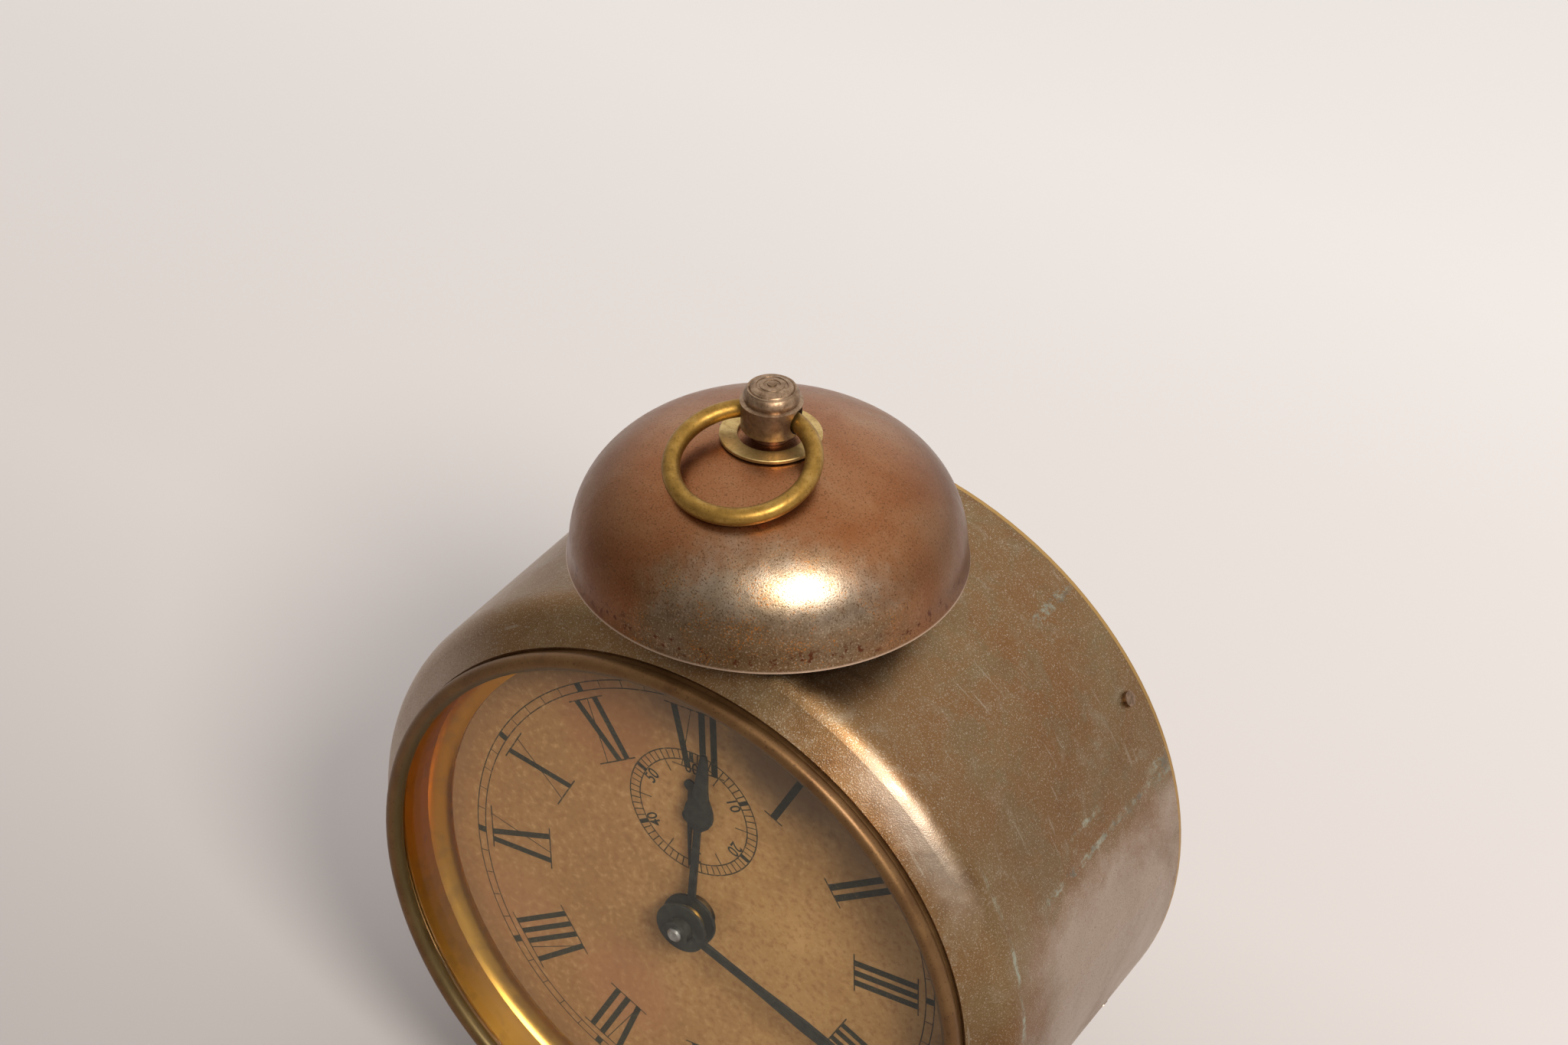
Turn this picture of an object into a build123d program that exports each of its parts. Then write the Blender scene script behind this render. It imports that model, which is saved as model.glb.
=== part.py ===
from build123d import *
import math
import os

os.makedirs("parts", exist_ok=True)

# Millimetres. The clock faces -Y, +Z is up, and the drum axis runs along Y.
# A depth is measured backwards from the middle of the bezel bead.
# A place (x, z) in the movement is measured from the drum axis, seen from the front.

# Case
drum_radius = 57.15
case_wall = 0.6
foot_clearance = 5.0
bead_radius = 1.35
shoulder_rise = 5.35
shoulder_start = 1.7
shoulder_end = 9.6
drum_depth = 61.4
collar_wall = 0.6
collar_step = 0.55
collar_depth = 3.4
glass_thickness = 1.5
sight_wall = 0.4
sight_width = 4.45
dial_depth = 10.2
dial_thickness = 0.5
dial_turn = 2.4
seconds_offset = 19.37
cover_rim = 0.95
cover_edge = 0.25
cover_skirt = 7.5
cover_recess = 2.5
cover_thickness = 0.7
fit_gap = 0.1
running_gap = 0.05
seat_gap = 0.02

# Feet
front_foot_angle = 33.0
front_foot_depth = 13.0
rear_foot_depth = 50.0
foot_ball = 4.0
foot_flat = 0.4
foot_neck = 2.4
foot_flange = 4.6
foot_stud = 1.6
foot_nut_height = 1.6

# Bell, its post, the finial and the carrying ring
bell_depth = 27.07
bell_offset = 0.95
bell_radius = 29.6
bell_height = 20.8
bell_wall = 0.9
bell_lip = 0.35
bell_clearance = 1.05
bell_power_radius = 2.25
bell_power_height = 2.45
bell_hole = 2.3
post_radius = 3.5
post_flange_radius = 6.0
post_flange_height = 1.0
post_stud_length = 6.0
post_nut_radius = 4.5
post_nut_height = 2.5
washer_radius = 7.56
washer_hole = 4.9
washer_thickness = 0.5
stud_radius = 2.0
stud_length = 11.0
finial_shank = 3.0
neck_radius = 4.45
neck_gap = 1.0
neck_height = 4.35
neck_rounding = 0.2
ring_radius = 10.35
ring_wire = 1.35
ring_play = 0.1
ring_rest_gap = 0.2
ring_turn = 6.0

# Hands, given by their place between dial and glass
hour_pipe_front = 7.8
hand_thickness = 0.5
minute_pipe_front = 5.5
arbor_front = 3.3
seconds_hand_front = 9.0
hour_hand_angle = 90 - 4.0
minute_hand_angle = 90 - 112.8
hour_hand_length = 33.1
minute_hand_length = 41.0
hand_disc_radius = 4.6
seconds_tail = 6.0
seconds_tip = 9.6
seconds_blob = 1.0

# Movement frame
plate_half_width = 35.5
plate_top = 39.0
plate_bottom = -38.0
plate_corner = 7.0
plate_thickness = 1.5
front_plate_depth = 17.0
plate_spacing = 26.0
pillar_radius = 2.5
pillar_pivot = 1.6
pillar_nut = 3.2
pillar_nut_height = 2.0
pillar_x = 31.0
pillar_top = 34.0
pillar_bottom = -33.0
cover_screw_radius = 1.5

# Wheels: teeth and modules
great_teeth = 48
centre_leaves = 8
great_module = 0.8
centre_teeth = 48
third_leaves = 6
centre_module = 0.6
third_teeth = 45
fourth_leaves = 6
third_module = 0.6
fourth_teeth = 48
escape_leaves = 6
fourth_module = 0.55
cannon_leaves = 12
minute_teeth = 36
cannon_module = 0.5
minute_leaves = 8
hour_teeth = 32
alarm_drive_teeth = 36
alarm_drive_module = 0.8
alarm_great_teeth = 42
alarm_leaves = 7
alarm_module = 0.7
ratchet_teeth = 16
ratchet_radius = 7.0
escape_teeth = 15
escape_radius = 6.6
alarm_escape_radius = 6.5
wheel_thickness = 1.2
arbor_radius = 1.0
pivot_radius = 0.7
centre_arbor_radius = 1.2
winding_arbor_radius = 2.0
great_hub_radius = 9.0

# Escapements
lever_reach = 9.0
balance_reach = 10.5
balance_radius = 8.5
balance_rim = 1.2
balance_staff = 0.8
tooth_clearance = 0.2
verge_clearance = 0.45
pallet_pin = 0.45

# Springs
time_spring_radius = 12.5
alarm_spring_radius = 12.0
spring_strip = 0.35
spring_turns = 6
spring_width = 11.0
spring_core = 3.4
hairspring_radius = 5.2
hairspring_strip = 0.2
hairspring_turns = 5
hairspring_width = 0.6

# Rear controls
key_bow_radius = 7.5
key_bow_offset = 6.5
key_bow_thickness = 2.2
key_end = 76.6
key_hub_radius = 4.2
key_hub_length = 9.0
knob_radius = 6.5
knob_length = 5.0
knob_flutes = 18
flute_radius = 0.45
winding_end = 64.6
setting_end = 64.1

# Places worked out from the sizes above
axis_height = drum_radius + foot_clearance
bead_ring_radius = drum_radius - shoulder_rise - bead_radius
shoulder_foot = bead_ring_radius + bead_radius
collar_outer = shoulder_foot - collar_step
collar_inner = collar_outer - collar_wall
sight_dial_radius = collar_inner - sight_width
dial_radius = collar_inner - running_gap
bell_rim_height = drum_radius + bell_clearance
front_reach = bell_radius + bell_lip - bell_depth
y_shift = (key_end - front_reach) / 2
front_plate_rear = front_plate_depth + plate_thickness
back_plate_depth = front_plate_rear + plate_spacing
back_plate_rear = back_plate_depth + plate_thickness
panel_outer = drum_depth - cover_recess
panel_inner = panel_outer - cover_thickness
inner_radius = drum_radius - case_wall


def face(depth, at=(0, 0)):
    """A plane across the drum axis, seen from the front."""
    return Plane(origin=(at[0], depth - y_shift, axis_height + at[1]), x_dir=(1, 0, 0), z_dir=(0, -1, 0))


def section(at=(0, 0)):
    """A plane through a line parallel to the drum axis: x is depth and y is radius."""
    return Plane(origin=(at[0], -y_shift, axis_height + at[1]), x_dir=(0, 1, 0), z_dir=(1, 0, 0))


def line_at(at=(0, 0)):
    """The line parallel to the drum axis through a place in the movement."""
    return Axis((at[0], 0, axis_height + at[1]), (0, 1, 0))


def polar(radius, angle, centre=(0, 0)):
    """The place at a distance and an angle from another place."""
    turn = math.radians(angle)
    return (centre[0] + radius * math.cos(turn), centre[1] + radius * math.sin(turn))


def bearing_of(start, end):
    """The angle of the line from one place to another, in degrees."""
    return math.degrees(math.atan2(end[1] - start[1], end[0] - start[0]))


def pair_distance(teeth, leaves, module):
    """The distance between the arbors of two wheels in mesh."""
    return (teeth + leaves) * module / 2


def meeting_place(first, first_distance, second, second_distance):
    """The place at given distances from two others, to the right of the line between them."""
    span = math.dist(first, second)
    along = (first_distance**2 - second_distance**2 + span**2) / (2 * span)
    across = math.sqrt(first_distance**2 - along**2)
    direction = bearing_of(first, second)
    foot = polar(along, direction, first)
    return polar(across, direction - 90, foot)


# Where each arbor stands
great_at = polar(pair_distance(great_teeth, centre_leaves, great_module), -38)
alarm_at = (-great_at[0], great_at[1])
fourth_at = polar(seconds_offset, 90 + dial_turn)
third_at = meeting_place(
    (0, 0),
    pair_distance(centre_teeth, third_leaves, centre_module),
    fourth_at,
    pair_distance(third_teeth, fourth_leaves, third_module),
)
escape_at = polar(pair_distance(fourth_teeth, escape_leaves, fourth_module), 40, fourth_at)
lever_at = polar(lever_reach, -30, escape_at)
balance_at = polar(balance_reach, -20, lever_at)
minute_at = polar(pair_distance(minute_teeth, cannon_leaves, cannon_module), 200)
hour_module = 2 * math.dist((0, 0), minute_at) / (hour_teeth + minute_leaves)
setting_at = polar(alarm_drive_teeth * alarm_drive_module, -90)
alarm_escape_at = polar(pair_distance(alarm_great_teeth, alarm_leaves, alarm_module), 112, alarm_at)
hammer_at = polar(alarm_escape_radius + 2.4, 100, alarm_escape_at)
release_at = (-16.0, -27.0)
stop_at = (-19.5, 33.0)


def write(piece, label):
    """Name a finished piece and write its file."""
    piece.part.label = label
    export_step(piece.part, f"parts/{label}.step")


def disc(depth, thickness, radius, at=(0, 0), mode=Mode.ADD):
    """Add or cut a round disc or rod in the piece being built."""
    with BuildSketch(face(depth, at)) as outline:
        Circle(radius)
    extrude(outline.sketch, amount=-thickness, mode=mode)


def turned(points, at=(0, 0), mode=Mode.ADD):
    """Add or cut a form turned about a line parallel to the drum axis, from (depth, radius) points."""
    with BuildSketch(section(at)) as outline:
        with BuildLine():
            Polyline(*points, close=True)
        make_face()
    revolve(outline.sketch, axis=line_at(at), mode=mode)


def bar(points, width, depth, thickness, mode=Mode.ADD):
    """Add a flat bar with round ends that follows a few places."""
    with BuildSketch(face(depth)) as outline:
        for start, end in zip(points, points[1:]):
            middle = ((start[0] + end[0]) / 2, (start[1] + end[1]) / 2)
            with Locations(middle):
                SlotCenterToCenter(math.dist(start, end), width, rotation=bearing_of(start, end))
    extrude(outline.sketch, amount=-thickness, mode=mode)


def gear(teeth, module, depth, thickness, at, toward, leaf=False):
    """Add a toothed wheel, or a pinion of leaves, with a tooth or a gap on the line to its mate."""
    pitch = teeth * module / 2
    tip = pitch + (0.75 if leaf else 0.95) * module
    root = pitch - (1.3 if leaf else 1.15) * module
    step = 360 / teeth
    tooth_pitch = math.pi * module
    half_root = math.degrees((0.16 if leaf else 0.24) * tooth_pitch / root)
    half_tip = math.degrees((0.08 if leaf else 0.1) * tooth_pitch / tip)
    start = bearing_of(at, toward) + (step / 2 if leaf else 0)
    corners = ((root, -half_root), (tip, -half_tip), (tip, half_tip), (root, half_root))
    points = [polar(radius, start + k * step + turn) for k in range(teeth) for radius, turn in corners]
    with BuildSketch(face(depth, at)) as outline:
        with BuildLine():
            Polyline(*points, close=True)
        make_face()
    extrude(outline.sketch, amount=-thickness)


def saw_wheel(teeth, radius, tooth_height, depth, thickness, at, lean):
    """Add a wheel of slanted teeth, as on a ratchet or an escape wheel."""
    step = 360 / teeth
    points = []
    for k in range(teeth):
        points.append(polar(radius - tooth_height, lean * (k - 0.1) * step))
        points.append(polar(radius, lean * k * step))
        points.append(polar(radius, lean * (k + 0.12) * step))
    with BuildSketch(face(depth, at)) as outline:
        with BuildLine():
            Polyline(*points, close=True)
        make_face()
    extrude(outline.sketch, amount=-thickness)


def crossings(inner, outer, depth, thickness, at, count, share=0.7):
    """Cut the windows between the arms of a wheel."""
    step = 360 / count
    with BuildSketch(face(depth, at)) as windows:
        with PolarLocations(0, count):
            with BuildLine():
                half = step * share / 2
                CenterArc((0, 0), outer, -half, 2 * half)
                CenterArc((0, 0), inner, -half, 2 * half)
                Line(polar(inner, half), polar(outer, half))
                Line(polar(inner, -half), polar(outer, -half))
            make_face()
    extrude(windows.sketch, amount=-thickness, mode=Mode.SUBTRACT)


def spiral(inner, outer, turns, strip, width, depth, at):
    """Add a flat strip wound in a spiral of half turns, each one step wider than the last."""
    step = (outer - inner) / (2 * turns)
    with BuildSketch(face(depth, at)) as outline:
        with BuildLine():
            for side in (-strip / 2, strip / 2):
                for k in range(2 * turns):
                    if k % 2 == 0:
                        CenterArc((0, 0), inner + k * step + side, 0, 180)
                    else:
                        CenterArc((step, 0), inner + k * step + side, 180, 180)
            Line((inner - strip / 2, 0), (inner + strip / 2, 0))
            last = inner + 2 * turns * step
            Line((last - strip / 2, 0), (last + strip / 2, 0))
        make_face()
    extrude(outline.sketch, amount=-width)


# The case, from front to back

with BuildPart() as bezel_ring:
    with BuildSketch(section()) as bead_outline:
        with Locations((0, bead_ring_radius)):
            Circle(bead_radius)
        with BuildLine():
            Polyline((0.2, collar_inner), (collar_depth, collar_inner), (collar_depth, collar_outer),
                     (0.2, collar_outer), close=True)
        make_face()
    revolve(bead_outline.sketch, axis=line_at())
write(bezel_ring, "bezel_ring")

with BuildPart() as front_shoulder:
    with BuildSketch(section()) as shoulder_outline:
        with BuildLine():
            rise = shoulder_end - shoulder_start
            front = (shoulder_start, shoulder_foot)
            knee = (shoulder_start + 0.42 * rise, shoulder_foot + 0.66 * (drum_radius - shoulder_foot))
            crest = (shoulder_end, drum_radius)
            slope = Line(front, knee)
            TangentArc(knee, crest, tangent=slope % 1)
            Line(crest, (shoulder_end, drum_radius - case_wall))
            inner_knee = (knee[0] + 0.55 * case_wall, knee[1] - 0.84 * case_wall)
            inner_front = (shoulder_start + 0.3 * case_wall, collar_outer + fit_gap)
            inner_slope = Line(inner_front, inner_knee)
            TangentArc(inner_knee, (shoulder_end, drum_radius - case_wall), tangent=inner_slope % 1)
            Line(inner_front, front)
        make_face()
    revolve(shoulder_outline.sketch, axis=line_at())
write(front_shoulder, "front_shoulder")

glass_front = bead_radius + seat_gap
with BuildPart() as glass:
    disc(glass_front, glass_thickness, collar_inner - fit_gap)
    chamfer(glass.edges().filter_by(GeomType.CIRCLE), 0.2)
write(glass, "glass")

sight_front = glass_front + glass_thickness + seat_gap
sight_outer = collar_inner - fit_gap
sight_taper = 0.9
sight_cove = 2.4


def sight_side(inset):
    """One side of the sight ring's wall: a slightly tapered band that curves in to the dial."""
    top = (sight_front, sight_outer - inset)
    bend = (dial_depth - sight_cove, sight_outer - sight_taper - inset)
    end = (dial_depth - seat_gap - inset, sight_dial_radius)
    run = end[0] - bend[0]
    rise = bend[1] - end[1]
    cove_radius = (run**2 + rise**2) / (2 * run)
    cove_centre = (end[0] - cove_radius, end[1])
    middle = polar(cove_radius, math.degrees(math.atan2(rise, cove_radius - run)) / 2, cove_centre)
    return top, bend, middle, end


with BuildPart() as sight_ring:
    with BuildSketch(section()) as sight_outline:
        with BuildLine():
            back_side = sight_side(0)
            front_side = sight_side(sight_wall)
            for side in (back_side, front_side):
                Line(side[0], side[1])
                ThreePointArc(side[1], side[2], side[3])
            Line(back_side[0], front_side[0])
            Line(back_side[3], front_side[3])
        make_face()
    revolve(sight_outline.sketch, axis=line_at())
write(sight_ring, "sight_ring")

seconds_arbor_radius = 0.45
dial_hole = 3.3
dial_screw_circle = 33.0
dial_screw_angles = (45, 135, 225, 315)
dial_screw_radius = 0.9

with BuildPart() as dial:
    disc(dial_depth, dial_thickness, dial_radius)
    disc(dial_depth, dial_thickness, dial_hole, mode=Mode.SUBTRACT)
    disc(dial_depth, dial_thickness, 2 * seconds_arbor_radius, fourth_at, Mode.SUBTRACT)
write(dial, "dial")

dial_back = dial_depth + dial_thickness
with BuildPart() as dial_posts:
    for angle in dial_screw_angles:
        spot = polar(dial_screw_circle, angle)
        length = front_plate_depth - dial_back - 2 * seat_gap
        disc(dial_back + seat_gap, length, 2 * dial_screw_radius, spot)
write(dial_posts, "dial_posts")

hammer_plane = bell_depth
rod_radius = 0.8
slot_half_depth = 2.2
slot_left = -27.4
slot_right = -18.6
side_screw_rise = 33.1
side_screw_angles = (side_screw_rise, 180 - side_screw_rise, -side_screw_rise, side_screw_rise - 180)
side_screw_depth = 56.3
side_screw_radius = 1.0
side_screw_head = 1.15


def upright(height):
    """A level plane on the bell's axis, at a height above the drum axis."""
    return Plane.XY.offset(axis_height + height).move(Location((bell_offset, bell_depth - y_shift, 0)))


def radial(angle, depth, reach):
    """A plane square to the drum's radius at an angle, at a distance from the axis."""
    spot = polar(reach, angle)
    way = polar(1, angle)
    return Plane(origin=(spot[0], depth - y_shift, axis_height + spot[1]), x_dir=(0, 1, 0),
                 z_dir=(way[0], 0, way[1]))


def radial_section(angle, depth):
    """A plane through the drum's radius: x is the distance from the drum axis and y is depth."""
    way = polar(1, angle)
    return Plane(origin=(0, depth - y_shift, axis_height), x_dir=(way[0], 0, way[1]),
                 z_dir=(-way[1], 0, way[0]))


def radial_line(angle, depth):
    """The drum's radius at an angle, as an axis."""
    way = polar(1, angle)
    return Axis((0, depth - y_shift, axis_height), (way[0], 0, way[1]))


def radial_rod(angle, depth, start, end, radius, mode=Mode.ADD):
    """Add or cut a rod along the drum's radius."""
    with BuildSketch(radial(angle, depth, start)) as outline:
        Circle(radius)
    extrude(outline.sketch, amount=end - start, mode=mode)


front_foot_angles = (-90 - front_foot_angle, -90 + front_foot_angle)
foot_places = [(angle, front_foot_depth) for angle in front_foot_angles] + [(-90, rear_foot_depth)]
band_front = shoulder_end + seat_gap
band_length = drum_depth - cover_rim - seat_gap - band_front

with BuildPart() as case_band:
    disc(band_front, band_length, drum_radius)
    disc(band_front, band_length, inner_radius, mode=Mode.SUBTRACT)
    with BuildSketch(Plane.XY.offset(axis_height)) as hammer_slot:
        with Locations(((slot_left + slot_right) / 2, hammer_plane - y_shift)):
            Rectangle(slot_right - slot_left, 2 * slot_half_depth)
    extrude(hammer_slot.sketch, amount=drum_radius + 1, mode=Mode.SUBTRACT)
    with BuildSketch(upright(0)) as post_hole:
        Circle(stud_radius + fit_gap)
    extrude(post_hole.sketch, amount=drum_radius + 1, mode=Mode.SUBTRACT)
    holes = [(angle, side_screw_depth, side_screw_radius + running_gap) for angle in side_screw_angles]
    holes += [(angle, depth, foot_stud + fit_gap) for angle, depth in foot_places]
    for angle, depth, radius in holes:
        radial_rod(angle, depth, drum_radius - 2, drum_radius + 2, radius, Mode.SUBTRACT)
write(case_band, "case_band")

nut_radius = 3.2
foot_stud_end = inner_radius - foot_nut_height - 1.2
flange_seat = drum_radius + seat_gap

with BuildPart() as front_feet:
    for angle in front_foot_angles:
        ball_reach = (axis_height - foot_ball + foot_flat) / math.cos(math.radians(front_foot_angle))
        ball_top = ball_reach - math.sqrt(foot_ball**2 - foot_neck**2)
        with BuildSketch(radial_section(angle, front_foot_depth)) as foot_outline:
            with BuildLine():
                Polyline((ball_reach + foot_ball, 0), (foot_stud_end, 0), (foot_stud_end, foot_stud),
                         (flange_seat, foot_stud), (flange_seat, foot_flange), (flange_seat + 1, foot_flange),
                         (flange_seat + 2.2, foot_neck), (ball_top, foot_neck))
                ThreePointArc((ball_top, foot_neck), (ball_reach, foot_ball), (ball_reach + foot_ball, 0))
            make_face()
        revolve(foot_outline.sketch, axis=radial_line(angle, front_foot_depth))
    split(bisect_by=Plane.XY, keep=Keep.TOP)
write(front_feet, "front_feet")

with BuildPart() as rear_foot:
    dome = axis_height - foot_ball + foot_flat
    with BuildSketch(radial_section(-90, rear_foot_depth)) as foot_outline:
        with BuildLine():
            Polyline((dome + foot_ball, 0), (foot_stud_end, 0), (foot_stud_end, foot_stud),
                     (flange_seat, foot_stud), (flange_seat, foot_flange), (dome, foot_flange),
                     (dome, foot_ball))
            ThreePointArc((dome, foot_ball), polar(foot_ball, 45, (dome, 0)), (dome + foot_ball, 0))
        make_face()
    revolve(foot_outline.sketch, axis=radial_line(-90, rear_foot_depth))
    split(bisect_by=Plane.XY, keep=Keep.TOP)
write(rear_foot, "rear_foot")

with BuildPart() as foot_nuts:
    nut_seat = math.sqrt(inner_radius**2 - nut_radius**2) - seat_gap
    for angle, depth in foot_places:
        with BuildSketch(radial(angle, depth, nut_seat - foot_nut_height)) as nut_outline:
            RegularPolygon(nut_radius, 6)
            Circle(foot_stud + running_gap, mode=Mode.SUBTRACT)
        extrude(nut_outline.sketch, amount=foot_nut_height)
write(foot_nuts, "foot_nuts")

# The back cover

set_hole = 4.2
winding_hole = 3.2
cover_post_spots = [(-33.0, 20.0), (23.5, 33.5), (-31.0, -22.0), (31.0, -22.0)]
regulator_reach = 17.0
regulator_swing = 22.0
stop_swing = 10.0
stop_reach = 12.0
stop_rest = 72.0
stop_arm = 12.5
stop_arm_angle = 222.0
stop_pin_at = polar(stop_reach, stop_rest, stop_at)
cover_front = drum_depth - cover_skirt


def arc_slot(centre, reach, rest, swing, width, depth, thickness):
    """Cut a slot for a pin that swings about a centre."""
    with BuildSketch(face(depth, centre)) as slot:
        with BuildLine():
            for radius in (reach - width / 2, reach + width / 2):
                CenterArc((0, 0), radius, rest - swing, 2 * swing)
            CenterArc(polar(reach, rest + swing), width / 2, rest + swing, 180)
            CenterArc(polar(reach, rest - swing), width / 2, rest - swing, -180)
        make_face()
    extrude(slot.sketch, amount=-thickness, mode=Mode.SUBTRACT)


regulator_rest = -80.0

with BuildPart() as back_cover:
    turned([(panel_inner, 0), (panel_inner, inner_radius - 2.2), (cover_front, inner_radius - fit_gap - 0.7),
            (cover_front, inner_radius - fit_gap), (drum_depth - cover_rim, inner_radius - fit_gap),
            (drum_depth - cover_rim, drum_radius), (drum_depth - cover_edge, drum_radius),
            (drum_depth, drum_radius - cover_edge), (drum_depth, inner_radius - 1.2),
            (panel_outer, inner_radius - 2.0), (panel_outer, 0)])
    disc(panel_inner, cover_thickness, set_hole, mode=Mode.SUBTRACT)
    disc(panel_inner, cover_thickness, winding_hole, great_at, Mode.SUBTRACT)
    disc(panel_inner, cover_thickness, winding_hole, alarm_at, Mode.SUBTRACT)
    disc(panel_inner, cover_thickness, winding_hole, setting_at, Mode.SUBTRACT)
    for spot in cover_post_spots:
        disc(panel_inner, cover_thickness, cover_screw_radius + fit_gap, spot, Mode.SUBTRACT)
    arc_slot(balance_at, regulator_reach, regulator_rest, regulator_swing + 5, 2.4, panel_inner,
             cover_thickness)
    arc_slot(stop_at, stop_reach, stop_rest, stop_swing + 5, 3.4, panel_inner, cover_thickness)
    for angle in side_screw_angles:
        radial_rod(angle, side_screw_depth, inner_radius - 3, inner_radius, side_screw_radius + running_gap,
                   Mode.SUBTRACT)
write(back_cover, "back_cover")

with BuildPart() as side_screws:
    for angle in side_screw_angles:
        radial_rod(angle, side_screw_depth, inner_radius - 2.4, flange_seat, side_screw_radius)
        radial_rod(angle, side_screw_depth, flange_seat, flange_seat + 0.6, side_screw_head + 0.1)
write(side_screws, "side_screws")

# The bell on its post, the finial and the carrying ring

def bell_section():
    """A plane through the bell's axis: x is radius and y is height above the drum axis."""
    return Plane(origin=(bell_offset, bell_depth - y_shift, axis_height), x_dir=(1, 0, 0),
                 z_dir=(0, -1, 0))


bell_axis = Axis((bell_offset, bell_depth - y_shift, 0), (0, 0, 1))


def bell_height_at(radius, inset=0.0):
    """The height of the bell's surface at a radius; an inset gives its inner surface."""
    share = min(1.0, radius / (bell_radius - inset))
    rise = (1 - share**bell_power_radius) ** (1 / bell_power_height)
    return bell_rim_height + (bell_height - inset) * rise


def bell_points(inset):
    """Points on the bell's outline, from the middle of its top to its rim."""
    shares = (0, 0.16, 0.3, 0.55, 0.75, 0.88, 0.96, 0.995)
    radii = [share * (bell_radius - inset) for share in shares]
    return [(radius, bell_height_at(radius, inset)) for radius in radii]


with BuildPart() as bell:
    with BuildSketch(bell_section()) as bell_outline:
        with BuildLine():
            outside = bell_points(0)
            inside = bell_points(bell_wall)
            rim_outer = (bell_radius + bell_lip, bell_rim_height)
            rim_inner = (bell_radius + bell_lip - bell_wall, bell_rim_height)
            Spline(*outside, rim_outer, tangents=[(1, 0), (0.3, -1)])
            Spline(*inside, rim_inner, tangents=[(1, 0), (0.3, -1)])
            Line(outside[0], inside[0])
            Line(rim_outer, rim_inner)
        make_face()
    revolve(bell_outline.sketch, axis=bell_axis)
    with BuildSketch(upright(bell_rim_height)) as hole:
        Circle(bell_hole)
    extrude(hole.sketch, amount=bell_height + 1, mode=Mode.SUBTRACT)
write(bell, "bell")

bell_top = bell_rim_height + bell_height
bell_seat = bell_height_at(post_radius, bell_wall) - seat_gap
shank_base = bell_top + seat_gap
stud_end = shank_base - stud_length
washer_base = bell_height_at(washer_hole) + seat_gap
washer_top = washer_base + washer_thickness
neck_base = washer_top + neck_gap
neck_top = neck_base + neck_height
hinge_height = neck_base + neck_height / 2 + neck_rounding / 2
neck_chord = math.sqrt(ring_radius**2 - neck_radius**2)
ring_sag = ring_radius - neck_chord
ring_inset = (ring_sag + ring_wire * (ring_radius / neck_chord - 1)) / 2
ring_centre = ring_radius - ring_inset
cross_hole = ring_wire + ring_inset + ring_play

with BuildPart() as bell_post:
    with BuildSketch(bell_section()) as post_outline:
        with BuildLine():
            base = drum_radius + seat_gap
            flange_top = base + post_flange_height
            nut_base = inner_radius - seat_gap
            Polyline((0, bell_seat), (post_radius, bell_seat), (post_radius, flange_top),
                     (post_flange_radius, flange_top), (post_flange_radius, base), (stud_radius, base),
                     (stud_radius, nut_base - post_stud_length), (0, nut_base - post_stud_length), close=True)
        make_face()
    revolve(post_outline.sketch, axis=bell_axis)
    with BuildSketch(upright(bell_seat)) as bore:
        Circle(stud_radius + running_gap)
    extrude(bore.sketch, amount=-(bell_seat - stud_end + 1), mode=Mode.SUBTRACT)
write(bell_post, "bell_post")

with BuildPart() as post_nut:
    post_nut_seat = math.sqrt(inner_radius**2 - (post_nut_radius + bell_offset)**2) - seat_gap
    with BuildSketch(upright(post_nut_seat - post_nut_height)) as nut_outline:
        RegularPolygon(post_nut_radius, 6)
        Circle(stud_radius + running_gap, mode=Mode.SUBTRACT)
    extrude(nut_outline.sketch, amount=post_nut_height)
write(post_nut, "post_nut")

with BuildPart() as bell_washer:
    with BuildSketch(upright(washer_base)) as washer_outline:
        Circle(washer_radius)
        Circle(washer_hole, mode=Mode.SUBTRACT)
    extrude(washer_outline.sketch, amount=washer_thickness)
    chamfer(bell_washer.edges().filter_by(GeomType.CIRCLE).group_by(Axis.Z)[-1], washer_thickness / 5)
write(bell_washer, "bell_washer")

# The finial above its neck, from the lip to the middle of its top: radius, and height above the neck
finial_lip = [(4.65, 0.1), (4.65, 0.25), (4.05, 0.45)]
finial_bulge = [(4.15, 0.95), (3.7, 2.15)]
finial_crown = [(3.6, 2.38), (3.42, 2.38), (3.25, 2.25), (3.12, 2.45), (2.8, 2.64), (2.35, 2.76),
                (2.3, 2.66), (1.85, 2.78), (1.8, 2.9), (1.25, 2.96), (1.2, 2.86), (0.7, 2.92),
                (0.65, 3.08), (0.3, 3.12), (0, 3.12)]

with BuildPart() as finial:
    with BuildSketch(bell_section()) as finial_outline:
        with BuildLine():
            lip = [(radius, neck_top + rise) for radius, rise in finial_lip]
            bulge = [(radius, neck_top + rise) for radius, rise in finial_bulge]
            crown = [(radius, neck_top + rise) for radius, rise in finial_crown]
            Polyline(crown[-1], (0, stud_end), (stud_radius, stud_end), (stud_radius, shank_base),
                     (finial_shank, shank_base), (finial_shank, neck_base),
                     (neck_radius - neck_rounding, neck_base), (neck_radius, neck_base + neck_rounding),
                     (neck_radius, neck_top), *lip)
            ThreePointArc(lip[-1], *bulge)
            Polyline(bulge[-1], *crown)
        make_face()
    revolve(finial_outline.sketch, axis=bell_axis)
    hinge_way = (math.cos(math.radians(ring_turn)), math.sin(math.radians(ring_turn)), 0)
    hinge_place = Vector(bell_offset, bell_depth - y_shift, axis_height + hinge_height)
    with BuildSketch(Plane(origin=hinge_place, z_dir=hinge_way)) as cross:
        Circle(cross_hole)
    extrude(cross.sketch, amount=2 * neck_radius, both=True, mode=Mode.SUBTRACT)
write(finial, "finial")


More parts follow.
